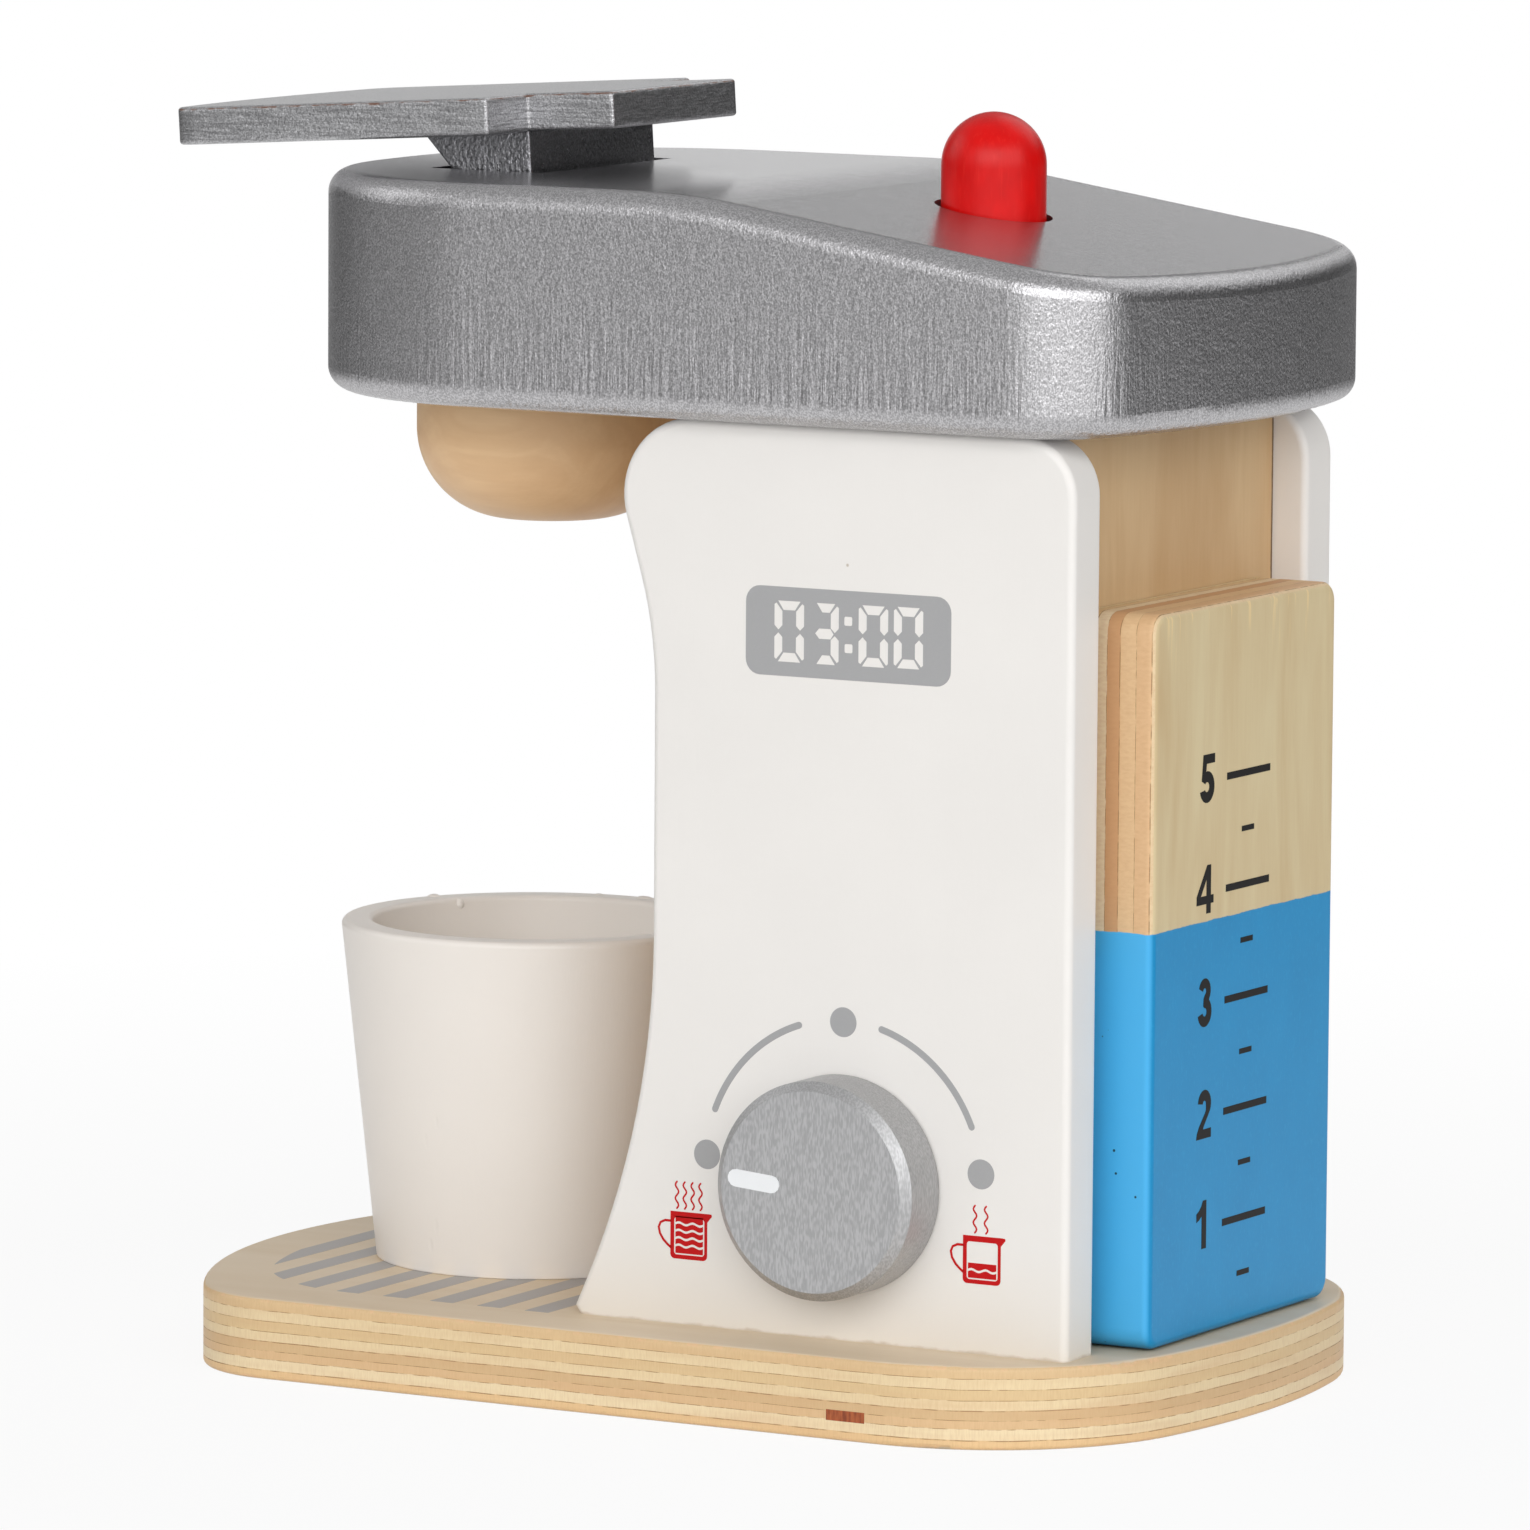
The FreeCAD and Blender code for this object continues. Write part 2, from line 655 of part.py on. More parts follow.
def make_spout():
    """A turned dome with a flat bottom, drawn about its own axis."""
    body = new_body("spout")
    radius, drop, curve = S["spout_radius"], S["spout_drop"], S["spout_curve"]
    profile = Drawing(body, "profile", "XZ_Plane")
    r, d, c = radius.value, drop.value, curve.value
    profile.line((0, -d), (r - c, -d))
    profile.arc((r - c, c - d), c, 270, 360)
    profile.line((r, c - d), (r, 0))
    profile.line((r, 0), (0, 0))
    profile.line((0, 0), (0, -d))
    profile.tie("Tangent", 0, 2, 1, 1)
    profile.tie("Tangent", 1, 2, 2, 1)
    profile.tie("Coincident", 2, 2, 3, 1)
    profile.tie("Coincident", 3, 2, 4, 1)
    profile.tie("Coincident", 4, 2, 0, 1)
    for level in (0, 3):
        profile.tie("Horizontal", level)
    for upright in (2, 4):
        profile.tie("Vertical", upright)
    profile.tie("Coincident", 3, 2, -1, 1)
    profile.fix("Radius", 1, curve)
    profile.place_x(2, 1, radius)
    profile.place_y(0, 1, -drop)
    revolve(body, profile, "dome")
    seat = Drawing(body, "dowel_seat", "XY_Plane")
    seat.circle(ZERO, ZERO, S["spout_dowel_radius"])
    pocket(body, seat, "dowel_hole", S["spout_dowel_depth"] + S["blind_gap"])
    body.setExpression("Placement.Base.x", (-S["spout_place"]).text)
    body.setExpression("Placement.Base.z", head_bottom.text)
    return body


def make_cup():
    """A tapered turned cup with a thick floor and a rounded lip."""
    body = new_body("cup")
    profile = Drawing(body, "profile", "XZ_Plane")
    top, foot, height = S["cup_top_radius"], S["cup_foot_radius"], S["cup_height"]
    wall, floor = S["cup_wall"], S["cup_floor"]
    taper = (top - foot) / height
    inner_foot = foot - wall + taper * floor
    points = [
        (ZERO, ZERO), (foot, ZERO), (top, height), (top - wall, height), (inner_foot, floor), (ZERO, floor),
    ]
    profile.polygon(points)
    revolve(body, profile, "turned_cup")
    lip = edges_where(body, lambda e: is_level(e, "Z", height.value))
    dress(body, "Fillet", "lip", lip, S["cup_lip"])
    hollow = edges_where(body, lambda e: is_level(e, "Z", floor.value))
    dress(body, "Fillet", "inner_corner", hollow, S["cup_wall"] - S["cup_lip"])
    foot_rim = edges_where(body, lambda e: is_level(e, "Z", 0.0) and e.BoundBox.XLength > 1)
    dress(body, "Fillet", "foot_rim", foot_rim, S["cup_lip"] / 3)
    body.setExpression("Placement.Base.x", (-S["cup_place"]).text)
    body.setExpression("Placement.Base.y", S["cup_side_place"].text)
    body.setExpression("Placement.Base.z", base_top.text)
    return body


# The lid lever is drawn level about its pin and then tipped by its pitch

lid_rear = S["lid_block_rear"] + S["lid_tab_length"]
lid_dowel_x = (S["lid_block_rear"] - S["lid_block_front"]) / 2


def tip_lid(item):
    item.Placement.Rotation = FreeCAD.Rotation(Vector(0, -1, 0), S["lid_pitch"].value)
    item.setExpression("Placement.Rotation.Angle", S["lid_pitch"].text)
    item.setExpression("Placement.Base.x", pin_x.text)
    item.setExpression("Placement.Base.z", pin_z.text)


def paddle_outline(drawing):
    """A bowed front end with two corner arcs, straight sides, and a narrower tab at the rear."""
    half, tab = S["lid_width"] / 2, S["lid_tab_width"] / 2
    front = S["lid_block_rear"] - S["lid_length"]
    corner, bow = S["lid_corner"], S["lid_bow"]
    across = half.value - corner.value
    centre = front.value + bow.value
    along = math.sqrt((bow.value - corner.value) ** 2 - across**2)
    corner_x = centre - along
    turn = math.degrees(math.atan2(across, along))
    step, end = S["lid_block_rear"].value, lid_rear.value
    h, t = half.value, tab.value
    drawing.line((corner_x, -h), (step, -h))
    drawing.line((step, -h), (step, -t))
    drawing.line((step, -t), (end, -t))
    drawing.line((end, -t), (end, t))
    drawing.line((end, t), (step, t))
    drawing.line((step, t), (step, h))
    drawing.line((step, h), (corner_x, h))
    drawing.arc((corner_x, across), corner.value, 90, 180 - turn)
    drawing.arc((centre, 0), bow.value, 180 - turn, 180 + turn)
    drawing.arc((corner_x, -across), corner.value, 180 + turn, 270)
    for n in range(6):
        drawing.tie("Coincident", n, 2, n + 1, 1)
    for n in range(6, 10):
        drawing.tie("Tangent", n, 2, (n + 1) % 10, 1)
    for level in (0, 2, 4, 6):
        drawing.tie("Horizontal", level)
    for upright in (1, 3, 5):
        drawing.tie("Vertical", upright)
    drawing.place_y(0, 1, -half)
    drawing.place_y(6, 1, half)
    drawing.place_y(2, 1, -tab)
    drawing.place_y(4, 1, tab)
    drawing.place_x(1, 1, S["lid_block_rear"])
    drawing.place_x(5, 1, S["lid_block_rear"])
    drawing.place_x(3, 1, lid_rear)
    for index, radius in ((7, corner), (9, corner), (8, bow)):
        drawing.fix("Radius", index, radius)
    drawing.tie("PointOnObject", 8, 3, -1)
    drawing.place_x(8, 3, front + bow)


def make_lid_plate():
    body = new_body("lid_plate")
    plan = Drawing(body, "paddle", "XY_Plane", S["lid_rise"])
    paddle_outline(plan)
    pad(body, plan, "plate", S["lid_thick"])
    faces = (S["lid_rise"].value, S["lid_rise"].value + S["lid_thick"].value)
    rims = edges_where(body, lambda e: any(is_level(e, "Z", z) for z in faces))
    dress(body, "Fillet", "eased_edges", rims, S["lid_edge"])
    seats = Drawing(body, "dowel_seats", "XY_Plane", S["lid_rise"])
    for y in (-S["lid_dowel_spacing"] / 2, S["lid_dowel_spacing"] / 2):
        seats.circle(lid_dowel_x, y, S["lid_dowel_radius"])
    pocket(body, seats, "dowel_holes", S["lid_thick"] / 2 + S["blind_gap"], back=True)
    tip_lid(body)
    return body


def make_lid_block():
    """A wedge with a slanted front and a round foot that turns on the pin."""
    body = new_body("lid_block")
    side = Drawing(body, "side", "XZ_Plane")
    foot, rise = S["lid_block_foot"], S["lid_rise"]
    front, rear, slant = S["lid_block_front"], S["lid_block_rear"], S["lid_block_slant"]
    f = foot.value
    drop = (front - foot) * cosine(slant) / sine(slant)
    knee = rise.value - drop.value
    side.line((rear.value, 0), (rear.value, rise.value))
    side.line((rear.value, rise.value), (-front.value, rise.value))
    side.line((-front.value, rise.value), (-f, knee))
    side.line((-f, knee), (-f, 0))
    side.arc((0, 0), f, 180, 360)
    side.line((f, 0), (rear.value, 0))
    for n in (0, 1, 2, 4):
        side.tie("Coincident", n, 2, n + 1, 1)
    side.tie("Tangent", 3, 2, 4, 1)
    side.tie("Coincident", 5, 2, 0, 1)
    for upright in (0, 3):
        side.tie("Vertical", upright)
    for level in (1, 5):
        side.tie("Horizontal", level)
    side.tie("Coincident", 4, 3, -1, 1)
    side.tie("PointOnObject", 4, 2, -1)
    side.fix("Radius", 4, foot)
    side.place_x(0, 1, rear)
    side.place_y(0, 2, rise)
    side.place_x(1, 2, -front)
    side.place_y(2, 2, rise - drop)
    pad(body, side, "wedge", S["lid_tab_width"], side="Symmetric")
    bore = Drawing(body, "pin_seat", "XZ_Plane")
    bore.circle(ZERO, ZERO, S["lid_pin_radius"] + S["running_gap"])
    pocket(body, bore, "pin_bore", S["lid_tab_width"] + S["lid_edge"], side="Symmetric")
    seats = Drawing(body, "dowel_seats", "XY_Plane", rise)
    for y in (-S["lid_dowel_spacing"] / 2, S["lid_dowel_spacing"] / 2):
        seats.circle(lid_dowel_x, y, S["lid_dowel_radius"])
    pocket(body, seats, "dowel_holes", S["lid_dowel_depth"] + S["blind_gap"])
    tip_lid(body)
    return body


def make_button():
    """A domed stem with a flange that stops it under the head, and a spigot inside the spring."""
    body = new_body("button")
    profile = Drawing(body, "profile", "XZ_Plane")
    radius, flange, spigot = S["button_radius"], S["flange_radius"], S["spigot_radius"]
    shoulder = S["flange_depth"] + S["button_rise"] - S["button_radius"]
    r, g, p, z = radius.value, flange.value, spigot.value, shoulder.value
    under, tip = S["flange_thick"], S["flange_thick"] + S["spigot_length"]
    profile.arc((0, z), r, 0, 90)
    profile.line((r, z), (r, 0))
    profile.line((r, 0), (g, 0))
    profile.line((g, 0), (g, -under.value))
    profile.line((g, -under.value), (p, -under.value))
    profile.line((p, -under.value), (p, -tip.value))
    profile.line((p, -tip.value), (0, -tip.value))
    profile.line((0, -tip.value), (0, z + r))
    profile.tie("Tangent", 0, 1, 1, 1)
    for n in range(1, 7):
        profile.tie("Coincident", n, 2, n + 1, 1)
    profile.tie("Coincident", 7, 2, 0, 2)
    for upright in (1, 3, 5, 7):
        profile.tie("Vertical", upright)
    for level in (2, 4, 6):
        profile.tie("Horizontal", level)
    profile.tie("PointOnObject", 7, 1, -2)
    profile.tie("PointOnObject", 0, 3, -2)
    profile.fix("Radius", 0, radius)
    profile.place_y(0, 3, shoulder)
    profile.tie("PointOnObject", 2, 1, -1)
    profile.place_x(3, 1, flange)
    profile.place_y(4, 1, -under)
    profile.place_x(5, 1, spigot)
    profile.place_y(6, 1, -tip)
    revolve(body, profile, "turned_button")
    body.setExpression("Placement.Base.x", S["button_place"].text)
    body.setExpression("Placement.Base.z", flange_top.text)
    return body


def cylinder(label, radius, length, x, y, z, axis="Z"):
    """A dowel, disc or pin that starts at a place and runs along an axis."""
    item = doc.addObject("Part::Cylinder", label)
    item.Label = label
    item.setExpression("Radius", radius.text)
    item.setExpression("Height", length.text)
    turns = {"Z": (Vector(0, 0, 1), 0), "X": (Vector(0, 1, 0), 90), "Y": (Vector(-1, 0, 0), 90)}
    item.Placement.Rotation = FreeCAD.Rotation(*turns[axis])
    for name, size in (("x", x), ("y", y), ("z", z)):
        item.setExpression(f"Placement.Base.{name}", size.text)
    return item


def group(label, items):
    """Separate solids that share one node."""
    bundle = doc.addObject("Part::Compound", label)
    bundle.Label = label
    bundle.Links = items
    return bundle


def make_spring():
    """A compression spring of six-sided wire between the plug and the flange, round the spigot."""
    body = new_body("button_spring")
    section = Drawing(body, "wire_section", "XZ_Plane")
    half = S["spring_wire"] / 2
    middle = S["spring_radius"]
    turns = [math.radians(a) for a in range(0, 360, 60)]
    section.polygon([(middle + half * math.cos(t), half + half * math.sin(t)) for t in turns])
    coil = body.newObject("PartDesign::AdditiveHelix", "coil")
    coil.Profile = section.sketch
    coil.ReferenceAxis = (section.sketch, ["V_Axis"])
    coil.Mode = "height-turns-angle"
    coil.setExpression("Height", (flange_top - S["flange_thick"] - plug_top - S["spring_wire"]).text)
    coil.setExpression("Turns", S["spring_turns"].text)
    section.sketch.Visibility = False
    body.setExpression("Placement.Base.x", S["button_place"].text)
    body.setExpression("Placement.Base.z", plug_top.text)
    return body


def make_knob():
    """A turned knob whose back rests close to the panel; its axis runs along -Y."""
    body = new_body("dial_knob")
    face = Drawing(body, "face", "XZ_Plane", half_body + S["knob_gap"])
    face.circle(S["knob_place"], S["knob_height"], S["knob_radius"])
    pad(body, face, "disc", S["knob_depth"])
    front = -(half_body + S["knob_gap"] + S["knob_depth"]).value
    rim = edges_where(body, lambda e: is_level(e, "Y", front))
    dress(body, "Chamfer", "front_chamfer", rim, S["knob_chamfer"])
    seat = Drawing(body, "axle_seat", "XZ_Plane", half_body + S["knob_gap"])
    seat.circle(S["knob_place"], S["knob_height"], S["axle_radius"])
    pocket(body, seat, "axle_hole", S["axle_seat"], back=True)
    return body


def make_axle():
    """A dowel through the panel, with a pilot hole for the screw in its inner end."""
    body = new_body("dial_axle")
    length = S["axle_seat"] + S["knob_gap"] + S["panel_thick"] + S["axle_inner"]
    start = half_body + S["knob_gap"] + S["axle_seat"]
    round_bar = Drawing(body, "section", "XZ_Plane", start - length)
    round_bar.circle(S["knob_place"], S["knob_height"], S["axle_radius"])
    pad(body, round_bar, "bar", length)
    pilot = Drawing(body, "pilot", "XZ_Plane", start - length)
    pilot.circle(S["knob_place"], S["knob_height"], S["dial_screw_radius"])
    depth = S["dial_screw_length"] - S["retainer_skin"] + S["blind_gap"]
    pocket(body, pilot, "pilot_hole", depth, back=True)
    return body


retainer_face = half_inside - S["knob_gap"]
retainer_seat = S["axle_inner"] - S["knob_gap"]


def make_retainer():
    """A disc on the axle's inner end; the screw passes through its outer skin."""
    body = new_body("dial_retainer")
    skin = S["retainer_skin"]
    disc = Drawing(body, "disc", "XZ_Plane", retainer_face - retainer_seat - skin)
    disc.circle(S["knob_place"], S["knob_height"], S["retainer_radius"])
    pad(body, disc, "turned_disc", retainer_seat + skin)
    seat = Drawing(body, "axle_seat", "XZ_Plane", retainer_face)
    seat.circle(S["knob_place"], S["knob_height"], S["axle_radius"])
    pocket(body, seat, "axle_hole", retainer_seat)
    hole = Drawing(body, "screw_seat", "XZ_Plane", retainer_face - retainer_seat)
    hole.circle(S["knob_place"], S["knob_height"], S["dial_screw_radius"])
    pocket(body, hole, "screw_hole", skin)
    return body


def make_tank():
    """A plywood slab that stands behind the rear wall and slides off its two pegs."""
    body = new_body("water_tank")
    plan = Drawing(body, "plan", "XY_Plane", base_top + S["tank_floor_gap"])
    near, far = S["tank_side_place"] - S["tank_width"] / 2, S["tank_side_place"] + S["tank_width"] / 2
    rear = tank_front + S["tank_thick"]
    plan.polygon([(tank_front, near), (rear, near), (rear, far), (tank_front, far)])
    pad(body, plan, "slab", S["tank_height"])
    corners = edges_where(body, lambda e: e.BoundBox.XLength > 1)
    dress(body, "Fillet", "rounded_corners", corners, S["tank_corner"])
    face = rear.value
    rims = edges_where(body, lambda e: is_level(e, "X", face))
    dress(body, "Fillet", "rounded_rear_edges", rims, S["tank_edge"])
    seats = Drawing(body, "peg_seats", "YZ_Plane", tank_front)
    for z in peg_levels:
        seats.circle(ZERO, z, S["peg_radius"] + S["running_gap"])
    pocket(body, seats, "peg_holes", S["peg_reach"] + S["blind_gap"], back=True)
    return body


top_of_tank = base_top + S["tank_floor_gap"] + S["tank_height"]


def turned_screw(label, points, head_face, slot_long, slot_wide, slot_deep):
    """A screw along +Z from the face of its head, with a cross recess."""
    body = new_body(label)
    profile = Drawing(body, "profile", "XZ_Plane")
    profile.polygon(points)
    revolve(body, profile, "turned_screw")
    for name, along, across in (("first", slot_long, slot_wide), ("second", slot_wide, slot_long)):
        bar = Drawing(body, f"{name}_slot_plan", "XY_Plane", head_face)
        bar.polygon([(-along, -across), (along, -across), (along, across), (-along, across)])
        pocket(body, bar, f"{name}_slot", slot_deep, back=True)
    return body


def make_base_screws():
    shank, head = S["screw_radius"], S["screw_head_radius"]
    length, cone = S["base_thick"] + S["screw_grip"], head - shank
    points = [(ZERO, ZERO), (head, ZERO), (shank, cone), (shank, length), (ZERO, length)]
    items = []
    for n, (x, y) in enumerate(screw_sites):
        screw = turned_screw(f"base_screw_{n}", points, ZERO, head * 0.55, head * 0.14, cone * 0.6)
        screw.setExpression("Placement.Base.x", x.text)
        screw.setExpression("Placement.Base.y", y.text)
        items.append(screw)
    return group("base_screws", items)


def make_dial_screw():
    """A flat-headed screw through the retainer into the axle, along -Y."""
    shank, head, length = S["dial_screw_radius"], S["dial_screw_head"], S["dial_screw_length"]
    points = [
        (ZERO, -shank), (head, -shank), (head, ZERO), (shank, ZERO), (shank, length), (ZERO, length),
    ]
    body = turned_screw("dial_screw", points, -shank, head * 0.6, head * 0.14, shank * 0.6)
    body.Placement.Rotation = FreeCAD.Rotation(Vector(1, 0, 0), 90)
    body.setExpression("Placement.Base.x", S["knob_place"].text)
    body.setExpression("Placement.Base.y", (retainer_seat + S["retainer_skin"] - retainer_face).text)
    body.setExpression("Placement.Base.z", S["knob_height"].text)
    return body


def make_dowels():
    """Every plain dowel, disc and peg, with the groups that share a node."""
    walls, heads, pegs, lids = [], [], [], []
    reach = S["dowel_panel_seat"] + S["dowel_wall_seat"]
    for i, x in enumerate(wall_middles):
        for j, z in enumerate(dowel_levels):
            for side, start in (("near", -half_inside - S["dowel_panel_seat"]),
                                ("far", half_inside - S["dowel_wall_seat"])):
                walls.append(cylinder(f"wall_dowel_{side}_{i}{j}", S["dowel_radius"], reach, x, start, z, "Y"))
    for i, x in enumerate(head_dowel_places):
        for side, y in (("near", -panel_middle), ("far", panel_middle)):
            start, length = head_bottom - S["head_dowel_seat"], S["head_dowel_seat"] * 2
            heads.append(cylinder(f"head_dowel_{side}_{i}", S["head_dowel_radius"], length, x, y, start))
    for i, z in enumerate(peg_levels):
        start, length = wall_rear - S["peg_seat"], S["peg_seat"] + S["tank_wall_gap"] + S["peg_reach"]
        pegs.append(cylinder(f"tank_peg_{i}", S["peg_radius"], length, start, ZERO, z, "X"))
    length = S["lid_dowel_depth"] + S["lid_thick"] / 2
    for side, y in (("near", -S["lid_dowel_spacing"] / 2), ("far", S["lid_dowel_spacing"] / 2)):
        start = S["lid_rise"] - S["lid_dowel_depth"]
        lids.append(cylinder(f"lid_dowel_{side}", S["lid_dowel_radius"], length, lid_dowel_x, y, start))
    lid_dowels = group("lid_dowels", lids)
    tip_lid(lid_dowels)
    return [group("wall_dowels", walls), group("head_dowels", heads), group("tank_pegs", pegs), lid_dowels]


def make_loose_rounds():
    """The single dowels and the plug."""
    depth = S["spout_dowel_depth"]
    spout_dowel = cylinder(
        "spout_dowel", S["spout_dowel_radius"], depth * 2, -S["spout_place"], ZERO, head_bottom - depth
    )
    plug = cylinder("button_plug", button_bore, S["plug_thick"], S["button_place"], ZERO, head_bottom)
    near_end = -half_slot - S["lid_pin_seat"]
    flush = S["head_width"] / 2 - S["head_edge"]
    lid_pin = cylinder("lid_pin", S["lid_pin_radius"], flush - near_end, pin_x, near_end, pin_z, "Y")
    return [spout_dowel, plug, lid_pin]


parts = [
    make_base(),
    make_panel("side_panel_dial", -1),
    make_panel("side_panel_plain", 1),
    make_wall("core_front_wall", wall_front, wall_middles[0], False),
    make_wall("core_rear_wall", wall_rear - S["wall_thick"], wall_middles[1], True),
    make_head(),
    make_spout(),
    make_cup(),
    make_lid_plate(),
    make_lid_block(),
    make_button(),
    make_spring(),
    make_knob(),
    make_axle(),
    make_retainer(),
    make_dial_screw(),
    make_tank(),
    make_base_screws(),
]
parts += make_dowels()
parts += make_loose_rounds()
doc.recompute()

for item in doc.Objects:
    if "Invalid" in item.State or "Error" in item.State:
        raise RuntimeError(f"{item.Label} did not compute: {item.State}")

os.makedirs("parts", exist_ok=True)
for item in parts:
    shape = item.Shape
    if shape.isNull() or not shape.isValid():
        raise RuntimeError(f"{item.Label} has no valid shape")
    shape.exportStep(f"parts/{item.Label}.step")
    print(item.Label, len(shape.Solids), round(shape.Volume, 1))
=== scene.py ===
import math

import bmesh
import bpy
from mathutils import Matrix, Vector
from mathutils.geometry import tessellate_polygon


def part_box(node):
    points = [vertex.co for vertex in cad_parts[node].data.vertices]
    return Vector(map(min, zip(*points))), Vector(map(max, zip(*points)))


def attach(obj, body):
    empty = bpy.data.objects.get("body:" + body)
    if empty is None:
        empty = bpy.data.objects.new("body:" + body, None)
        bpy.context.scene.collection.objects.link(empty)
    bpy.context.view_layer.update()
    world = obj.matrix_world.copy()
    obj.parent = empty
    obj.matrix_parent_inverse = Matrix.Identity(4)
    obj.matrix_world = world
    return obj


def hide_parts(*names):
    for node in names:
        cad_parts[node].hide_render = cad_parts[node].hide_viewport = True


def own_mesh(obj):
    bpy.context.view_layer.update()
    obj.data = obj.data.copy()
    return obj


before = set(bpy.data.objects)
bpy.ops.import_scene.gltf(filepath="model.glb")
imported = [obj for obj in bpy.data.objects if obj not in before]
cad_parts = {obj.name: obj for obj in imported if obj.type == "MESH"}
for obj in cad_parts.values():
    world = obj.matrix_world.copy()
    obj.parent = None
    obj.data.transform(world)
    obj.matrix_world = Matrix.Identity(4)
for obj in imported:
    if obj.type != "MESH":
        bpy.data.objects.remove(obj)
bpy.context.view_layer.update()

MM = 0.001

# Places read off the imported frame, in millimetres


def box_mm(node):
    low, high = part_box(node)
    return [v / MM for v in low], [v / MM for v in high]


PANEL_FACE = box_mm("side_panel_dial")[0][1]
BOARD_TOP = box_mm("base_board")[1][2]
BOARD_SIDE = box_mm("base_board")[0][1]
TANK_FACE = box_mm("water_tank")[1][0]
TANK_LOW = box_mm("water_tank")[0]
TANK_TOP = box_mm("water_tank")[1][2]
HEAD_LOW = box_mm("head_block")[0][2]
WALL_SIDE = box_mm("core_rear_wall")[1][1]
KNOB_FACE = box_mm("dial_knob")[0][1]

# The lid lever's pin, its pitch and the height of its plate's top over the pin

LID_PIN = (-36.9, 168.0)
LID_PITCH = 3.7
LID_TOP = 18.6

# Camera, solved from the photograph with the 12 mm base board as the scale

CAMERA_PLACE = (808.9, -1445.7, 289.7)
CAMERA_TURN = math.radians(29.26)
CAMERA_DROP = math.radians(6.924)
CAMERA_ROLL = math.radians(0.381)
CAMERA_LENS = 267.2
CAMERA_SENSOR = 36.0
CAMERA_NEAR, CAMERA_FAR = 0.05, 50.0


def add_object(name, data):
    item = bpy.data.objects.new(name, data)
    bpy.context.scene.collection.objects.link(item)
    return item


def make_camera():
    data = bpy.data.cameras.new("camera")
    data.lens = CAMERA_LENS
    data.sensor_width = CAMERA_SENSOR
    data.clip_start = CAMERA_NEAR
    data.clip_end = CAMERA_FAR
    camera = add_object("camera", data)
    right = Vector((math.cos(CAMERA_TURN), math.sin(CAMERA_TURN), 0.0))
    level = math.cos(CAMERA_DROP)
    ahead = Vector((-math.sin(CAMERA_TURN) * level, math.cos(CAMERA_TURN) * level, -math.sin(CAMERA_DROP)))
    up = right.cross(ahead)
    rolled_right = right * math.cos(CAMERA_ROLL) + up * math.sin(CAMERA_ROLL)
    rolled_up = up * math.cos(CAMERA_ROLL) - right * math.sin(CAMERA_ROLL)
    turn = Matrix((rolled_right, rolled_up, -ahead)).transposed().to_4x4()
    camera.matrix_world = Matrix.Translation(Vector(CAMERA_PLACE) * MM) @ turn
    bpy.context.scene.camera = camera


# Materials

WHITE = (1.0, 1.0, 1.0, 1.0)


def shade(red, green, blue):
    """A colour given as 0 to 255 values on screen, as a shader wants it."""
    values = []
    for v in (red, green, blue):
        v /= 255.0
        values.append(v / 12.92 if v <= 0.04045 else ((v + 0.055) / 1.055) ** 2.4)
    return (*values, 1.0)


BEVEL_SAMPLES = 6


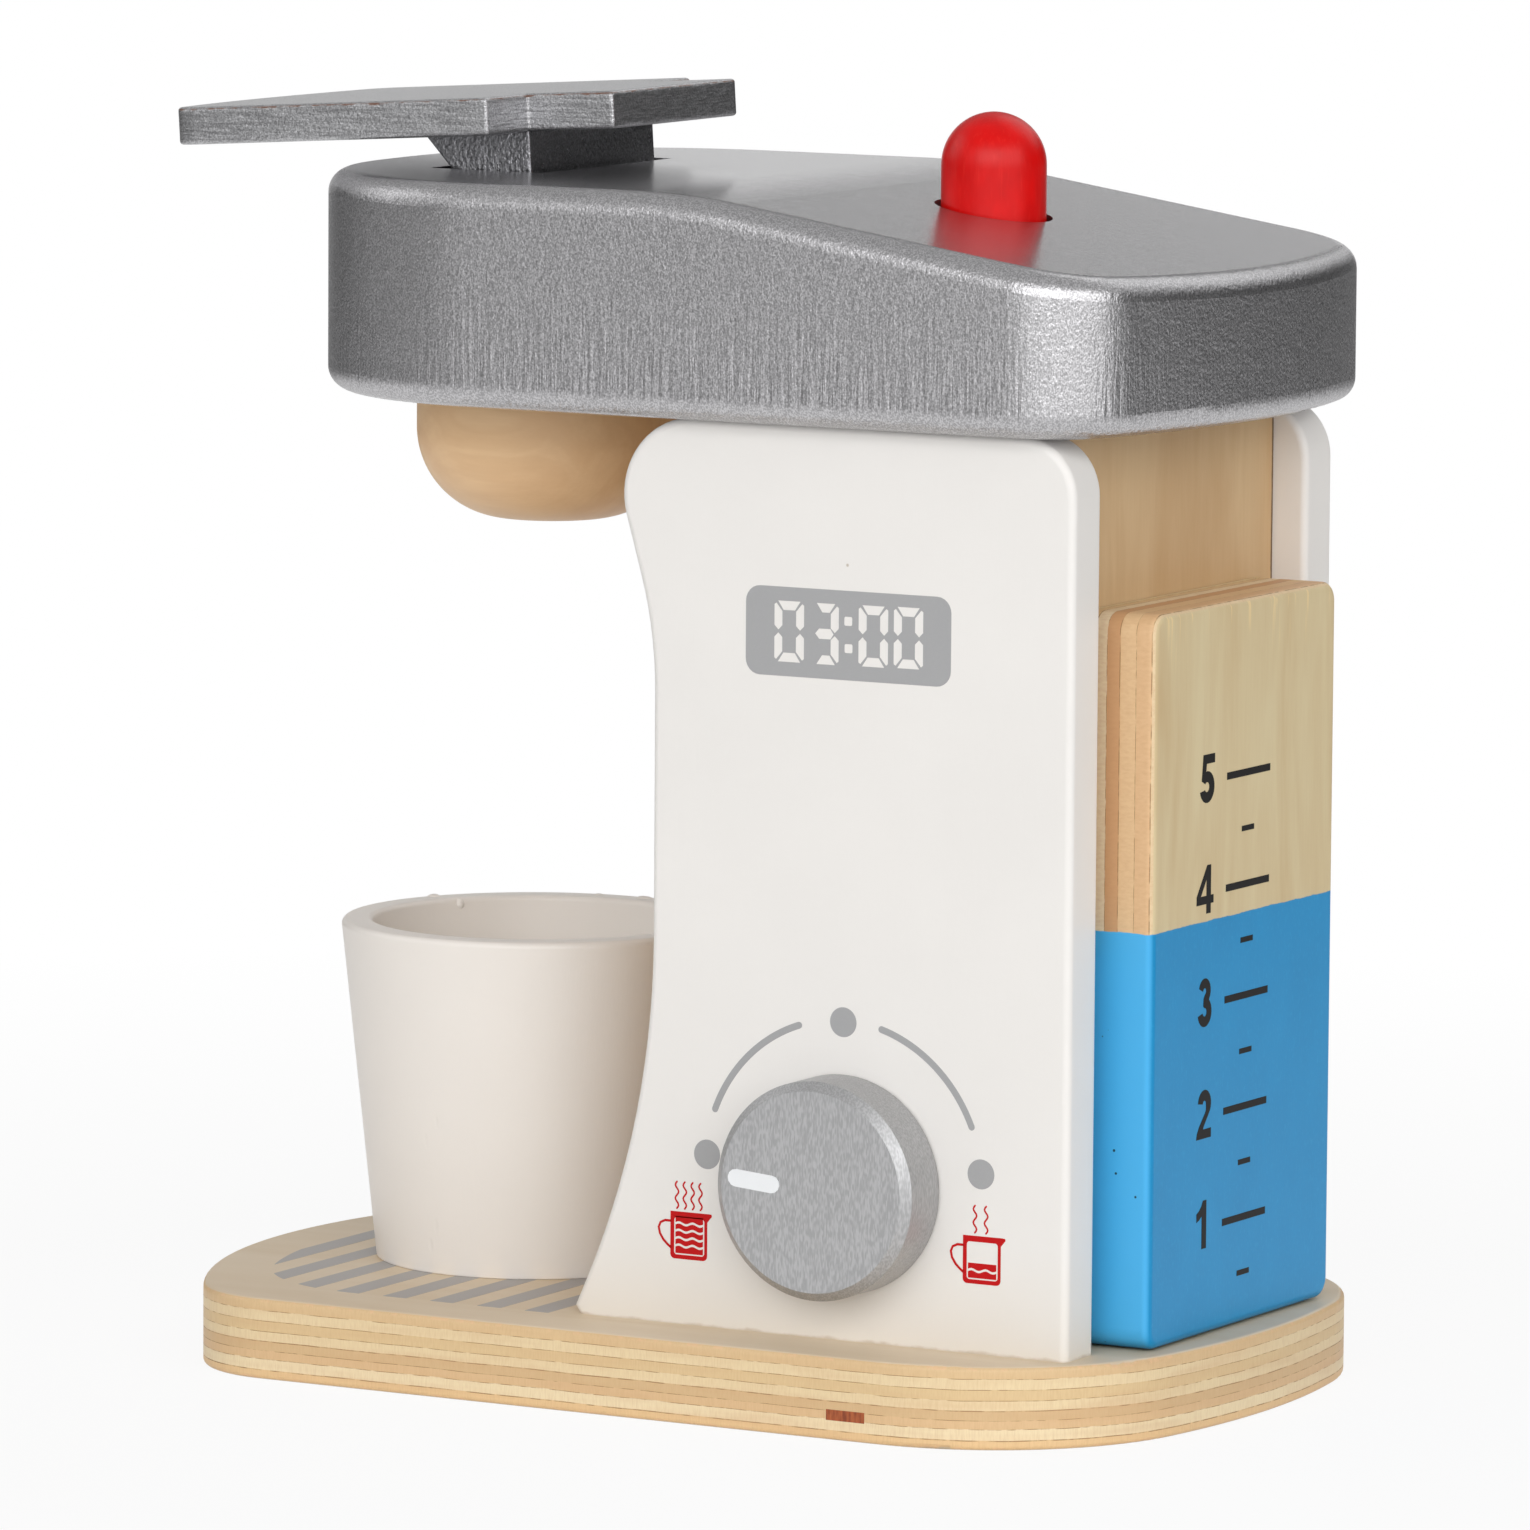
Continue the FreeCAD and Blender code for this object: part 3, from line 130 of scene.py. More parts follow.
class Graph:
    """A material's nodes, built by short calls that return output sockets."""

    def __init__(self, name):
        self.material = bpy.data.materials.new(name)
        self.material.use_nodes = True
        self.nodes = self.material.node_tree.nodes
        self.links = self.material.node_tree.links
        self.surface = self.nodes["Principled BSDF"]
        self.place = self.nodes.new("ShaderNodeTexCoord").outputs["Object"]

    def put(self, socket, value):
        if hasattr(value, "is_output"):
            self.links.new(value, socket)
        else:
            socket.default_value = value

    def set(self, **values):
        for name, value in values.items():
            self.put(self.surface.inputs[name.replace("_", " ")], value)

    def stretched(self, x=1.0, y=1.0, z=1.0, shift=0.0):
        """Object coordinates in millimetres, divided along each axis by a feature's size."""
        node = self.nodes.new("ShaderNodeMapping")
        node.inputs["Scale"].default_value = (1 / (x * MM), 1 / (y * MM), 1 / (z * MM))
        node.inputs["Location"].default_value = (shift, shift * 0.7, shift * 1.3)
        self.links.new(self.place, node.inputs["Vector"])
        return node.outputs["Vector"]

    def noise(self, vector, detail=3.0, roughness=0.55, distortion=0.0):
        node = self.nodes.new("ShaderNodeTexNoise")
        node.inputs["Scale"].default_value = 1.0
        node.inputs["Detail"].default_value = detail
        node.inputs["Roughness"].default_value = roughness
        node.inputs["Distortion"].default_value = distortion
        self.links.new(vector, node.inputs["Vector"])
        return node.outputs["Fac"]

    def cells(self, vector):
        node = self.nodes.new("ShaderNodeTexVoronoi")
        node.inputs["Scale"].default_value = 1.0
        self.links.new(vector, node.inputs["Vector"])
        return node.outputs["Distance"]

    def math(self, kind, first, second=0.0, third=0.0, clamp=False):
        node = self.nodes.new("ShaderNodeMath")
        node.operation = kind
        node.use_clamp = clamp
        for socket, value in zip(node.inputs, (first, second, third)):
            self.put(socket, value)
        return node.outputs["Value"]

    def span(self, value, low, high, out_low=0.0, out_high=1.0, smooth=False):
        node = self.nodes.new("ShaderNodeMapRange")
        node.interpolation_type = "SMOOTHSTEP" if smooth else "LINEAR"
        self.put(node.inputs["Value"], value)
        node.inputs["From Min"].default_value = low
        node.inputs["From Max"].default_value = high
        node.inputs["To Min"].default_value = out_low
        node.inputs["To Max"].default_value = out_high
        return node.outputs["Result"]

    def mix(self, factor, first, second):
        """A blend of two colours: sockets 6 and 7 are a colour mix's own inputs, and 2 its result."""
        node = self.nodes.new("ShaderNodeMix")
        node.data_type = "RGBA"
        self.put(node.inputs["Factor"], factor)
        self.put(node.inputs[6], first)
        self.put(node.inputs[7], second)
        return node.outputs[2]

    def bands(self, value, stops):
        """A flat colour for each stretch of a value; stops are (start, colour) pairs."""
        node = self.nodes.new("ShaderNodeValToRGB")
        ramp = node.color_ramp
        ramp.interpolation = "CONSTANT"
        while len(ramp.elements) < len(stops):
            ramp.elements.new(1.0)
        for element, (start, colour) in zip(ramp.elements, stops):
            element.position = start
            element.color = colour
        self.put(node.inputs["Fac"], value)
        return node.outputs["Color"]

    def axis(self, letter, source=None):
        node = self.nodes.new("ShaderNodeSeparateXYZ")
        self.links.new(source or self.place, node.inputs["Vector"])
        return node.outputs[letter]

    def length(self, vector):
        node = self.nodes.new("ShaderNodeVectorMath")
        node.operation = "LENGTH"
        self.links.new(vector, node.inputs[0])
        return node.outputs["Value"]

    def millimetres(self, letter):
        return self.math("MULTIPLY", self.axis(letter), 1 / MM)

    def facing(self, letter):
        """How far the surface's own normal lies along an axis of the object."""
        geometry = self.nodes.new("ShaderNodeTexCoord")
        return self.math("ABSOLUTE", self.axis(letter, geometry.outputs["Normal"]))

    def bump(self, height, strength, distance_mm, soften_mm=None):
        """Relief from a height. soften_mm rounds the look of the sharp edges under the paint."""
        node = self.nodes.new("ShaderNodeBump")
        node.inputs["Strength"].default_value = strength
        node.inputs["Distance"].default_value = distance_mm * MM
        self.links.new(height, node.inputs["Height"])
        if soften_mm is not None:
            edge = self.nodes.new("ShaderNodeBevel")
            edge.samples = BEVEL_SAMPLES
            edge.inputs["Radius"].default_value = soften_mm * MM
            self.links.new(edge.outputs["Normal"], node.inputs["Normal"])
        return node.outputs["Normal"]

    def spot(self, place, reach):
        """One in the middle of a small oval round a place in millimetres, and nothing outside it."""
        offset = self.nodes.new("ShaderNodeMapping")
        offset.inputs["Scale"].default_value = tuple(1 / (v * MM) for v in reach)
        offset.inputs["Location"].default_value = tuple(-p / v for p, v in zip(place, reach))
        self.links.new(self.place, offset.inputs["Vector"])
        return self.span(self.length(offset.outputs["Vector"]), 0.2, 1.0, 1.0, 0.0, smooth=True)

    def finish_normal(self, normal):
        self.links.new(normal, self.surface.inputs["Normal"])


BIRCH_PALE = shade(226, 206, 168)
BIRCH_WARM = shade(206, 172, 124)
GLUE = shade(160, 122, 80)
GLUE_LINE = 0.12


def birch_grain(graph, long_axis, pale=BIRCH_PALE, warm=BIRCH_WARM, shift=0.0, depth=0.5):
    """Fine pores and broad figure, drawn out along one axis."""
    fine = {"x": 0.45, "y": 0.45, "z": 0.45}
    broad = {"x": 9.0, "y": 9.0, "z": 9.0}
    fine[long_axis] = 7.0
    broad[long_axis] = 45.0
    pores = graph.noise(graph.stretched(**fine, shift=shift), detail=4.0, roughness=0.6)
    figure = graph.noise(graph.stretched(**broad, shift=shift), detail=2.0, distortion=0.8)
    blend = graph.math("MULTIPLY_ADD", pores, 0.22, graph.math("MULTIPLY", figure, 0.88))
    factor = graph.span(blend, 0.36, 0.76, 0.0, depth * 2)
    return graph.mix(factor, pale, warm), pores


def ply_stack(graph, axis, start_mm, thickness, layers, wander_mm=0.12):
    """Layers across one axis. Each layer is (thickness, colour) and a thin glue line closes it."""
    place = graph.millimetres(axis)
    waver = graph.noise(graph.stretched(9.0, 9.0, 9.0, shift=3.1), detail=2.0)
    wander = graph.math("MULTIPLY_ADD", waver, 2 * wander_mm, -wander_mm)
    depth = graph.math("ADD", graph.math("SUBTRACT", place, start_mm), wander)
    fraction = graph.math("DIVIDE", depth, thickness, clamp=True)
    breaks = graph.noise(graph.stretched(2.2, 2.2, 2.2, shift=6.6), detail=3.0)
    plain, lined, reached = [], [], 0.0
    for number, (size, colour) in enumerate(layers):
        plain.append((reached / thickness, colour))
        lined.append((reached / thickness, colour))
        reached += size
        if number < len(layers) - 1:
            lined.append(((reached - GLUE_LINE) / thickness, GLUE))
    worn = graph.span(breaks, 0.38, 0.56)
    return graph.mix(worn, graph.bands(fraction, plain), graph.bands(fraction, lined))


# The layers seen in the edges, in millimetres: the board's from its foot up, the tank's from its inner face out

PLY_CREAM = shade(232, 210, 169)
PLY_PALE = shade(237, 218, 180)
PLY_TAN = shade(222, 194, 148)
PLY_ORANGE = shade(214, 182, 138)
PLY_GOLD = shade(220, 186, 142)
PLY_FOOT = shade(230, 196, 148)

BOARD_LAYERS = (
    (1.47, PLY_FOOT),
    (1.62, PLY_PALE),
    (1.25, PLY_GOLD),
    (1.40, PLY_ORANGE),
    (1.47, PLY_CREAM),
    (1.55, PLY_TAN),
    (1.55, PLY_CREAM),
    (1.69, shade(221, 190, 145)),
)

TANK_LAYERS = (
    (0.90, shade(226, 206, 164)),
    (1.50, PLY_TAN),
    (1.90, shade(234, 216, 184)),
    (2.10, shade(208, 162, 118)),
    (2.60, shade(226, 192, 148)),
    (2.40, shade(222, 184, 140)),
    (0.60, shade(226, 202, 162)),
)


def wood_surface(graph, colour, pores, roughness=0.48, bump=0.12):
    graph.set(Base_Color=colour, Roughness=roughness)
    graph.set(Specular_IOR_Level=0.38)
    graph.finish_normal(graph.bump(pores, bump, 0.10))
    return graph.material


def board_material():
    graph = Graph("birch_ply_board")
    face, pores = birch_grain(graph, "x", shade(224, 206, 180), shade(214, 192, 160), depth=0.35)
    edge = ply_stack(graph, "Z", 0.0, BOARD_TOP, BOARD_LAYERS)
    hatch = graph.noise(graph.stretched(0.25, 0.25, 1.8, shift=5.0), detail=2.0)
    edge = graph.mix(graph.span(hatch, 0.40, 0.75, 0.0, 0.26), edge, shade(196, 158, 112))
    broad = graph.noise(graph.stretched(22.0, 22.0, 2.0, shift=2.0), detail=2.0)
    edge = graph.mix(graph.span(broad, 0.45, 0.75, 0.0, 0.30), edge, shade(206, 164, 122))
    lying = graph.facing("Z")
    is_face = graph.span(lying, 0.75, 0.85)
    rim = graph.math("MULTIPLY", graph.span(lying, 0.25, 0.45), graph.span(lying, 0.75, 0.9, 1.0, 0.0))
    chips = graph.noise(graph.stretched(1.6, 1.6, 1.6, shift=1.2), detail=3.0)
    chipped = graph.math("MULTIPLY", rim, graph.span(chips, 0.5, 0.62, 0.0, 0.5))
    colour = graph.mix(is_face, edge, face)
    colour = graph.mix(chipped, colour, shade(232, 190, 150))
    return wood_surface(graph, colour, pores)


WATER_LEVEL = 72.3


def tank_material():
    """Birch ply with the lower part dipped in blue paint."""
    graph = Graph("tank_ply_and_blue")
    face, pores = birch_grain(graph, "z", shade(220, 203, 163), shade(206, 180, 136), shift=1.7, depth=0.45)
    flecks = graph.noise(graph.stretched(1.0, 0.9, 14.0, shift=2.6), detail=2.0)
    near_top = graph.span(graph.millimetres("Z"), TANK_TOP - 9.0, TANK_TOP - 1.0)
    torn = graph.math("MULTIPLY", graph.span(flecks, 0.60, 0.68), near_top, clamp=True)
    face = graph.mix(graph.math("MULTIPLY", torn, 0.7), face, shade(240, 214, 160))
    edge = ply_stack(graph, "X", TANK_LOW[0], TANK_FACE - TANK_LOW[0], TANK_LAYERS, wander_mm=0.08)
    hatch = graph.noise(graph.stretched(1.2, 0.4, 0.5, shift=4.0), detail=3.0)
    edge = graph.mix(graph.span(hatch, 0.38, 0.75, 0.0, 0.30), edge, shade(194, 146, 104))
    is_face = graph.span(graph.facing("X"), 0.75, 0.85)
    wood = graph.mix(is_face, edge, face)
    waver = graph.noise(graph.stretched(4.0, 4.0, 4.0, shift=8.0), detail=3.0)
    level = graph.math("MULTIPLY_ADD", waver, 0.7, WATER_LEVEL - 0.35)
    under = graph.math("SUBTRACT", level, graph.millimetres("Z"))
    is_blue = graph.span(under, -0.06, 0.06)
    shading = graph.noise(graph.stretched(12.0, 12.0, 18.0, shift=6.0), detail=3.0)
    blue = graph.mix(shading, shade(0, 134, 192), shade(4, 147, 206))
    grit = graph.noise(graph.stretched(0.5, 0.5, 0.9, shift=4.4), detail=2.0)
    blue = graph.mix(graph.span(grit, 0.55, 0.75, 0.0, 0.25), blue, shade(44, 166, 218))
    # Painted light: faces turned along Y get a lighter blue, so the tank's sides look more brightly lit.
    blue = graph.mix(graph.span(graph.facing("Y"), 0.5, 0.9), blue, shade(72, 176, 232))
    holes = graph.cells(graph.stretched(3.2, 3.2, 3.2, shift=2.2))
    pinholes = graph.span(holes, 0.055, 0.075, 1.0, 0.0)
    pinholes = graph.math("MULTIPLY", pinholes, graph.math("SUBTRACT", 1.0, is_face))
    blue = graph.mix(pinholes, blue, shade(20, 52, 70))
    colour = graph.mix(is_blue, wood, blue)
    height = graph.math("MULTIPLY_ADD", is_blue, 0.5, graph.math("MULTIPLY", pores, 0.35))
    graph.set(Base_Color=colour, Roughness=graph.span(is_blue, 0.0, 1.0, 0.50, 0.38))
    graph.set(Specular_IOR_Level=0.38)
    graph.finish_normal(graph.bump(height, 0.22, 0.12))
    return graph.material


def wall_material():
    """Pale ply between the panels, with a dark line of painted shade at each side, where the wall meets a panel.
    """
    graph = Graph("birch_wall")
    colour, pores = birch_grain(graph, "z", shade(214, 184, 142), shade(196, 160, 116), shift=9.3, depth=0.4)
    # Painted shade: a dark brown line along each side, standing for the shadow in a narrow gap to the panel.
    across = graph.math("ABSOLUTE", graph.millimetres("Y"))
    uneven = graph.noise(graph.stretched(3.0, 3.0, 3.0, shift=1.4), detail=3.0)
    reach = graph.math("MULTIPLY_ADD", uneven, 0.5, WALL_SIDE - 0.75)
    painted_gap_shade = graph.span(graph.math("SUBTRACT", across, reach), -0.05, 0.12)
    colour = graph.mix(graph.math("MULTIPLY", painted_gap_shade, 0.85), colour, shade(84, 58, 34))
    return wood_surface(graph, colour, pores)


def spout_material():
    """Turned solid wood: its grain runs across, so the dome shows long arches."""
    graph = Graph("turned_beech")
    # Both wood colours are lighter than the wood's own: painted light, standing in for fill light in the head's
    # shadow.
    colour, pores = birch_grain(graph, "x", shade(246, 208, 162), shade(228, 186, 140), shift=4.4, depth=0.4)
    rings = graph.noise(graph.stretched(60.0, 4.0, 5.0, shift=1.0), detail=2.0, distortion=1.0)
    colour = graph.mix(graph.span(rings, 0.46, 0.62, 0.0, 0.4), colour, shade(230, 186, 138))
    return wood_surface(graph, colour, pores, roughness=0.42, bump=0.06)


def dowel_material():
    graph = Graph("plain_dowel")
    colour, pores = birch_grain(graph, "z", shift=2.0)
    return wood_surface(graph, colour, pores)


# Small dents in the cup's paint: the middle and the half sizes of each. Their depth is in units of the relief

CUP_DENTS = (
    ((-44.6, -23.9, 32.0), (0.5, 2.0, 1.5)),
    ((-42.5, -24.4, 35.2), (0.4, 2.0, 1.1)),
    ((-44.8, -22.2, 16.3), (0.5, 2.0, 1.3)),
    ((-43.6, -22.6, 19.2), (0.5, 2.0, 1.6)),
)
DENT_DEPTH = 3.0


def white_material(name, tint=(237, 234, 230), shift=0.0, foot_from=None, marks=()):
    """Sprayed white paint over wood: a faint upright grain, a few specks, soft shading, and over a foot a thin
    brownish line and a warm painted bounce light from the board.
    """
    graph = Graph(name)
    grain = graph.noise(graph.stretched(0.55, 0.55, 6.0, shift=shift), detail=3.0)
    peel = graph.noise(graph.stretched(1.3, 1.3, 1.3, shift=shift + 2), detail=2.0)
    broad = graph.noise(graph.stretched(30.0, 30.0, 30.0, shift=shift), detail=2.0)
    darker = tuple(v * 0.96 for v in shade(*tint)[:3]) + (1.0,)
    colour = graph.mix(graph.span(broad, 0.35, 0.7, 0.0, 0.6), shade(*tint), darker)
    specks = graph.cells(graph.stretched(13.0, 13.0, 13.0, shift=shift + 1))
    colour = graph.mix(graph.span(specks, 0.016, 0.026, 0.6, 0.0), colour, shade(160, 140, 110))
    if foot_from is not None:
        above = graph.math("SUBTRACT", graph.millimetres("Z"), foot_from)
        uneven = graph.noise(graph.stretched(4.0, 4.0, 4.0, shift=shift + 5), detail=3.0)
        reach = graph.span(uneven, 0.40, 0.70, 0.0, 0.45)
        # A thin brownish line just over the foot.
        brown_foot_line = graph.span(graph.math("SUBTRACT", above, reach), -0.15, 0.30, 0.6, 0.0)
        colour = graph.mix(brown_foot_line, colour, shade(168, 144, 112))
        # Painted bounce light from the board: a warm tint that fades out 16 mm above the foot.
        painted_bounce_light = graph.span(above, 0.0, 16.0, 0.35, 0.0)
        colour = graph.mix(painted_bounce_light, colour, shade(228, 216, 196))
    height = graph.math("MULTIPLY_ADD", grain, 0.6, graph.math("MULTIPLY", peel, 0.4))
    for place, reach in marks:
        height = graph.math("MULTIPLY_ADD", graph.spot(place, reach), -DENT_DEPTH, height)
    graph.set(Base_Color=colour, Roughness=0.40)
    graph.set(Specular_IOR_Level=0.42)
    graph.finish_normal(graph.bump(height, 0.20, 0.14))
    return graph.material


FLAKE_SIZE = 0.22


def flake_mask(graph, drawn_out=1.0):
    """The lacquer's metal flakes, from nothing on the dark ones to one on the bright ones."""
    flakes = graph.noise(graph.stretched(FLAKE_SIZE, FLAKE_SIZE, FLAKE_SIZE * drawn_out, shift=7.0), detail=0.0)
    return graph.span(flakes, 0.35, 0.68)


def silver_material(
    name, depth, tone=(183, 182, 184), peel_mm=0.45, rough=0.34,
    drips=0.0, smooth_top=0.0, brushed=1.3, flake=0.11, soften_mm=None,
):
    """Silver lacquer with an orange-peel skin and metal flakes. drips adds runs towards the head's foot."""
    graph = Graph(name)
    peel = graph.noise(graph.stretched(peel_mm, peel_mm, peel_mm * brushed), detail=2.0, roughness=0.5)
    swell = graph.noise(graph.stretched(2.6, 2.6, 3.4, shift=3.0), detail=1.0)
    dull, bright = (shade(*[v * share for v in tone]) for share in (1 - flake, 1 + flake))
    colour = graph.mix(flake_mask(graph, brushed), dull, bright)
    height = graph.math("MULTIPLY_ADD", swell, 0.7, peel)
    if drips:
        runs = graph.noise(graph.stretched(0.7, 0.7, 9.0, shift=5.0), detail=2.0)
        low = graph.span(graph.millimetres("Z"), HEAD_LOW + 3.0, HEAD_LOW + 22.0, drips, 0.0)
        height = graph.math("MULTIPLY_ADD", runs, low, height)
    if smooth_top:
        lying = graph.facing("Z")
        height = graph.math("MULTIPLY", height, graph.span(lying, 0.80, 0.98, 1.0, 1.0 - smooth_top))
        roughness = graph.span(lying, 0.80, 0.98, rough, rough * 0.72)
    else:
        roughness = graph.span(swell, 0.3, 0.7, rough - 0.03, rough + 0.03)
    graph.set(Base_Color=colour, Metallic=0.96, Roughness=roughness)
    graph.finish_normal(graph.bump(height, depth, 0.40, soften_mm))
    return graph.material


def plate_material():
    """Silver over birch ply: streaked edges, with the wood showing where the top arris is worn."""
    graph = Graph("silver_plate")
    peel = graph.noise(graph.stretched(0.5, 0.5, 0.5), detail=1.5)
    streaks = graph.noise(graph.stretched(6.0, 3.0, 0.32, shift=5.0), detail=3.0)
    colour = graph.mix(flake_mask(graph), shade(168, 168, 170), shade(206, 206, 208))
    upright = graph.span(graph.facing("Z"), 0.5, 0.7, 1.0, 0.0)
    dark = graph.math("MULTIPLY", graph.span(streaks, 0.36, 0.60, 0.40, 0.0), upright)
    colour = graph.mix(dark, colour, shade(82, 80, 82))
    tilt = math.radians(LID_PITCH)
    over = graph.math("MULTIPLY_ADD", graph.millimetres("X"), -math.sin(tilt), LID_PIN[0] * math.sin(tilt))
    level = graph.math("MULTIPLY_ADD", graph.millimetres("Z"), math.cos(tilt), LID_PIN[1] * -math.cos(tilt))
    above = graph.math("SUBTRACT", graph.math("ADD", over, level), LID_TOP)
    chips = graph.noise(graph.stretched(2.0, 2.0, 0.8, shift=2.0), detail=3.0)
    reach = graph.span(chips, 0.35, 0.7, -0.15, -0.60)
    worn = graph.span(graph.math("SUBTRACT", above, reach), -0.1, 0.12, 0.0, 0.95)
    worn = graph.math("MULTIPLY", worn, upright)
    colour = graph.mix(worn, colour, shade(116, 80, 62))
    graph.set(Base_Color=colour, Metallic=graph.span(worn, 0.0, 0.8, 0.92, 0.15), Roughness=0.33)
    height = graph.math("MULTIPLY_ADD", graph.math("MULTIPLY", streaks, upright), 0.6, peel)
    graph.finish_normal(graph.bump(height, 0.34, 0.32, soften_mm=0.9))
    return graph.material


def red_material():
    graph = Graph("red_lacquer")
    streaks = graph.noise(graph.stretched(0.4, 0.4, 5.0), detail=3.0)
    soft = graph.noise(graph.stretched(4.0, 4.0, 8.0, shift=2.0), detail=2.0)
    colour = graph.mix(graph.span(soft, 0.3, 0.7), shade(226, 4, 3), shade(206, 0, 0))
    colour = graph.mix(graph.span(streaks, 0.55, 0.75, 0.0, 0.4), colour, shade(232, 44, 34))
    graph.set(Base_Color=colour, Roughness=0.34)
    graph.set(Specular_IOR_Level=0.28)
    graph.finish_normal(graph.bump(streaks, 0.25, 0.12))
    return graph.material


def ink_material(name, colour, wear, speck=None):
    """Screen-printed ink that lets a little of what is under it through."""
    graph = Graph(name)
    grit = graph.noise(graph.stretched(0.4, 0.4, 0.4), detail=3.0)
    under = speck or tuple(min(1.0, v * 1.25) for v in colour[:3]) + (1.0,)
    graph.set(Base_Color=graph.mix(graph.span(grit, 0.5, 0.8, 0.0, wear), colour, under), Roughness=0.5)
    graph.set(Specular_IOR_Level=0.22)
    graph.finish_normal(graph.bump(grit, 0.08, 0.05))
    return graph.material


def steel_material():
    graph = Graph("zinc_steel")
    grit = graph.noise(graph.stretched(0.5, 0.5, 0.5), detail=3.0)
    graph.set(Base_Color=graph.mix(grit, shade(170, 170, 172), shade(200, 200, 204)), Metallic=1.0)
    graph.set(Roughness=graph.span(grit, 0.3, 0.7, 0.25, 0.4))
    return graph.material


def coat(material, *nodes):
    for node in nodes:
        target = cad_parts[node]
        target.data.materials.clear()
        target.data.materials.append(material)


def dress_nodes():
    coat(silver_material("silver_head", depth=0.27, drips=2.6, smooth_top=0.8), "head_block")
    coat(plate_material(), "lid_plate")
    coat(
        silver_material("silver_block", depth=0.60, tone=(146, 146, 149), peel_mm=0.6, rough=0.3, soften_mm=0.5),
        "lid_block",
    )
    coat(
        silver_material(
            "silver_knob", depth=0.12, tone=(182, 182, 183), peel_mm=0.3, rough=0.5, brushed=4.0, flake=0.05,
        ),
        "dial_knob",
    )
    coat(board_material(), "base_board")
    coat(tank_material(), "water_tank")
    coat(white_material("white_panel", foot_from=BOARD_TOP), "side_panel_dial", "side_panel_plain")
    coat(white_material("white_cup", tint=(241, 235, 228), shift=11.0, marks=CUP_DENTS), "cup")
    coat(wall_material(), "core_front_wall", "core_rear_wall")
    coat(spout_material(), "spout")
    coat(red_material(), "button")
    coat(
        dowel_material(), "spout_dowel", "lid_dowels", "lid_pin", "button_plug", "dial_axle", "dial_retainer",
        "tank_pegs", "head_dowels", "wall_dowels",
    )
    coat(steel_material(), "button_spring", "dial_screw", "base_screws")


# Flat outlines, as lists of points in millimetres on the surface that carries them


def arc_points(cx, cy, radius, start, end, steps=12):
    turns = [math.radians(start + (end - start) * n / steps) for n in range(steps + 1)]
    return [(cx + radius * math.cos(t), cy + radius * math.sin(t)) for t in turns]


def rounded_box(x0, y0, x1, y1, radius):
    corners = ((x1 - radius, y0 + radius, 270), (x1 - radius, y1 - radius, 0),
               (x0 + radius, y1 - radius, 90), (x0 + radius, y0 + radius, 180))
    return [p for cx, cy, start in corners for p in arc_points(cx, cy, radius, start, start + 90, 6)]


def disc(cx, cy, radius):
    return arc_points(cx, cy, radius, 0, 360, 40)[:-1]


def stroke(points, width, round_ends=True):
    """A line of even width along some points."""
    left, right = [], []
    for n, (x, y) in enumerate(points):
        before, after = points[max(n - 1, 0)], points[min(n + 1, len(points) - 1)]
        along = math.atan2(after[1] - before[1], after[0] - before[0])
        dx, dy = -math.sin(along) * width / 2, math.cos(along) * width / 2
        left.append((x + dx, y + dy))
        right.append((x - dx, y - dy))
    outline = list(right)
    if round_ends:
        turn = math.degrees(math.atan2(points[-1][1] - points[-2][1], points[-1][0] - points[-2][0]))
        outline += arc_points(*points[-1], width / 2, turn - 90, turn + 90, 6)[1:-1]
    outline += left[::-1]
    if round_ends:
        turn = math.degrees(math.atan2(points[1][1] - points[0][1], points[1][0] - points[0][0]))
        outline += arc_points(*points[0], width / 2, turn + 90, turn + 270, 6)[1:-1]
    return outline


# The flat faces that carry prints: each turns (u, v, height over the face) into a place


def on_panel(u, v, height):
    return (u, PANEL_FACE - height, v)


def on_knob(u, v, height):
    return (u, KNOB_FACE - height, v)


def on_tank(u, v, height):
    return (TANK_FACE + height, u, v)


def on_board(u, v, height):
    return (u, v, BOARD_TOP + height)


def on_edge(u, v, height):
    return (u, BOARD_SIDE - height, v)


# How far an ink reaches under and over its face

INK_SUNK = 0.03
INK_PROUD = 0.03
POINTER_PROUD = 0.08


def print_on(name, body, surface, shapes, material, proud=INK_PROUD):
    """A thin closed layer of ink. Each shape is an outline, or an outline and its holes."""
    points, faces = [], []
    for shape in shapes:
        loops = shape if isinstance(shape[0], list) else [shape]
        flat = [Vector((u, v, 0.0)) for loop in loops for u, v in loop]
        first = len(points)
        count = len(flat)
        points += [surface(p.x, p.y, proud) for p in flat] + [surface(p.x, p.y, -INK_SUNK) for p in flat]
        for a, b, c in tessellate_polygon([[Vector((u, v, 0.0)) for u, v in loop] for loop in loops]):
            faces.append((first + a, first + b, first + c))
            faces.append((first + count + c, first + count + b, first + count + a))
        start = first
        for loop in loops:
            size = len(loop)
            for n in range(size):
                a, b = start + n, start + (n + 1) % size
                faces.append((a, b, b + count, a + count))
            start += size
    mesh = bpy.data.meshes.new(name)
    mesh.from_pydata([tuple(v * MM for v in p) for p in points], [], faces)
    mesh.validate()
    fix_normals(mesh)
    mesh.materials.append(material)
    piece = add_object(name, mesh)
    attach(piece, body)


def fix_normals(mesh):
    work = bmesh.new()
    work.from_mesh(mesh)
    bmesh.ops.recalc_face_normals(work, faces=work.faces)
    work.to_mesh(mesh)
    work.free()


# Display: a grey field whose digits are left bare

DISPLAY_LOW = (18.45, 107.1)
DISPLAY_HIGH = (51.75, 119.9)
DISPLAY_CORNER = 2.3
DIGIT_HEIGHT = 8.75
SEGMENT = 1.32
SEGMENT_GAP = 0.17
SEGMENT_CUT = 0.42


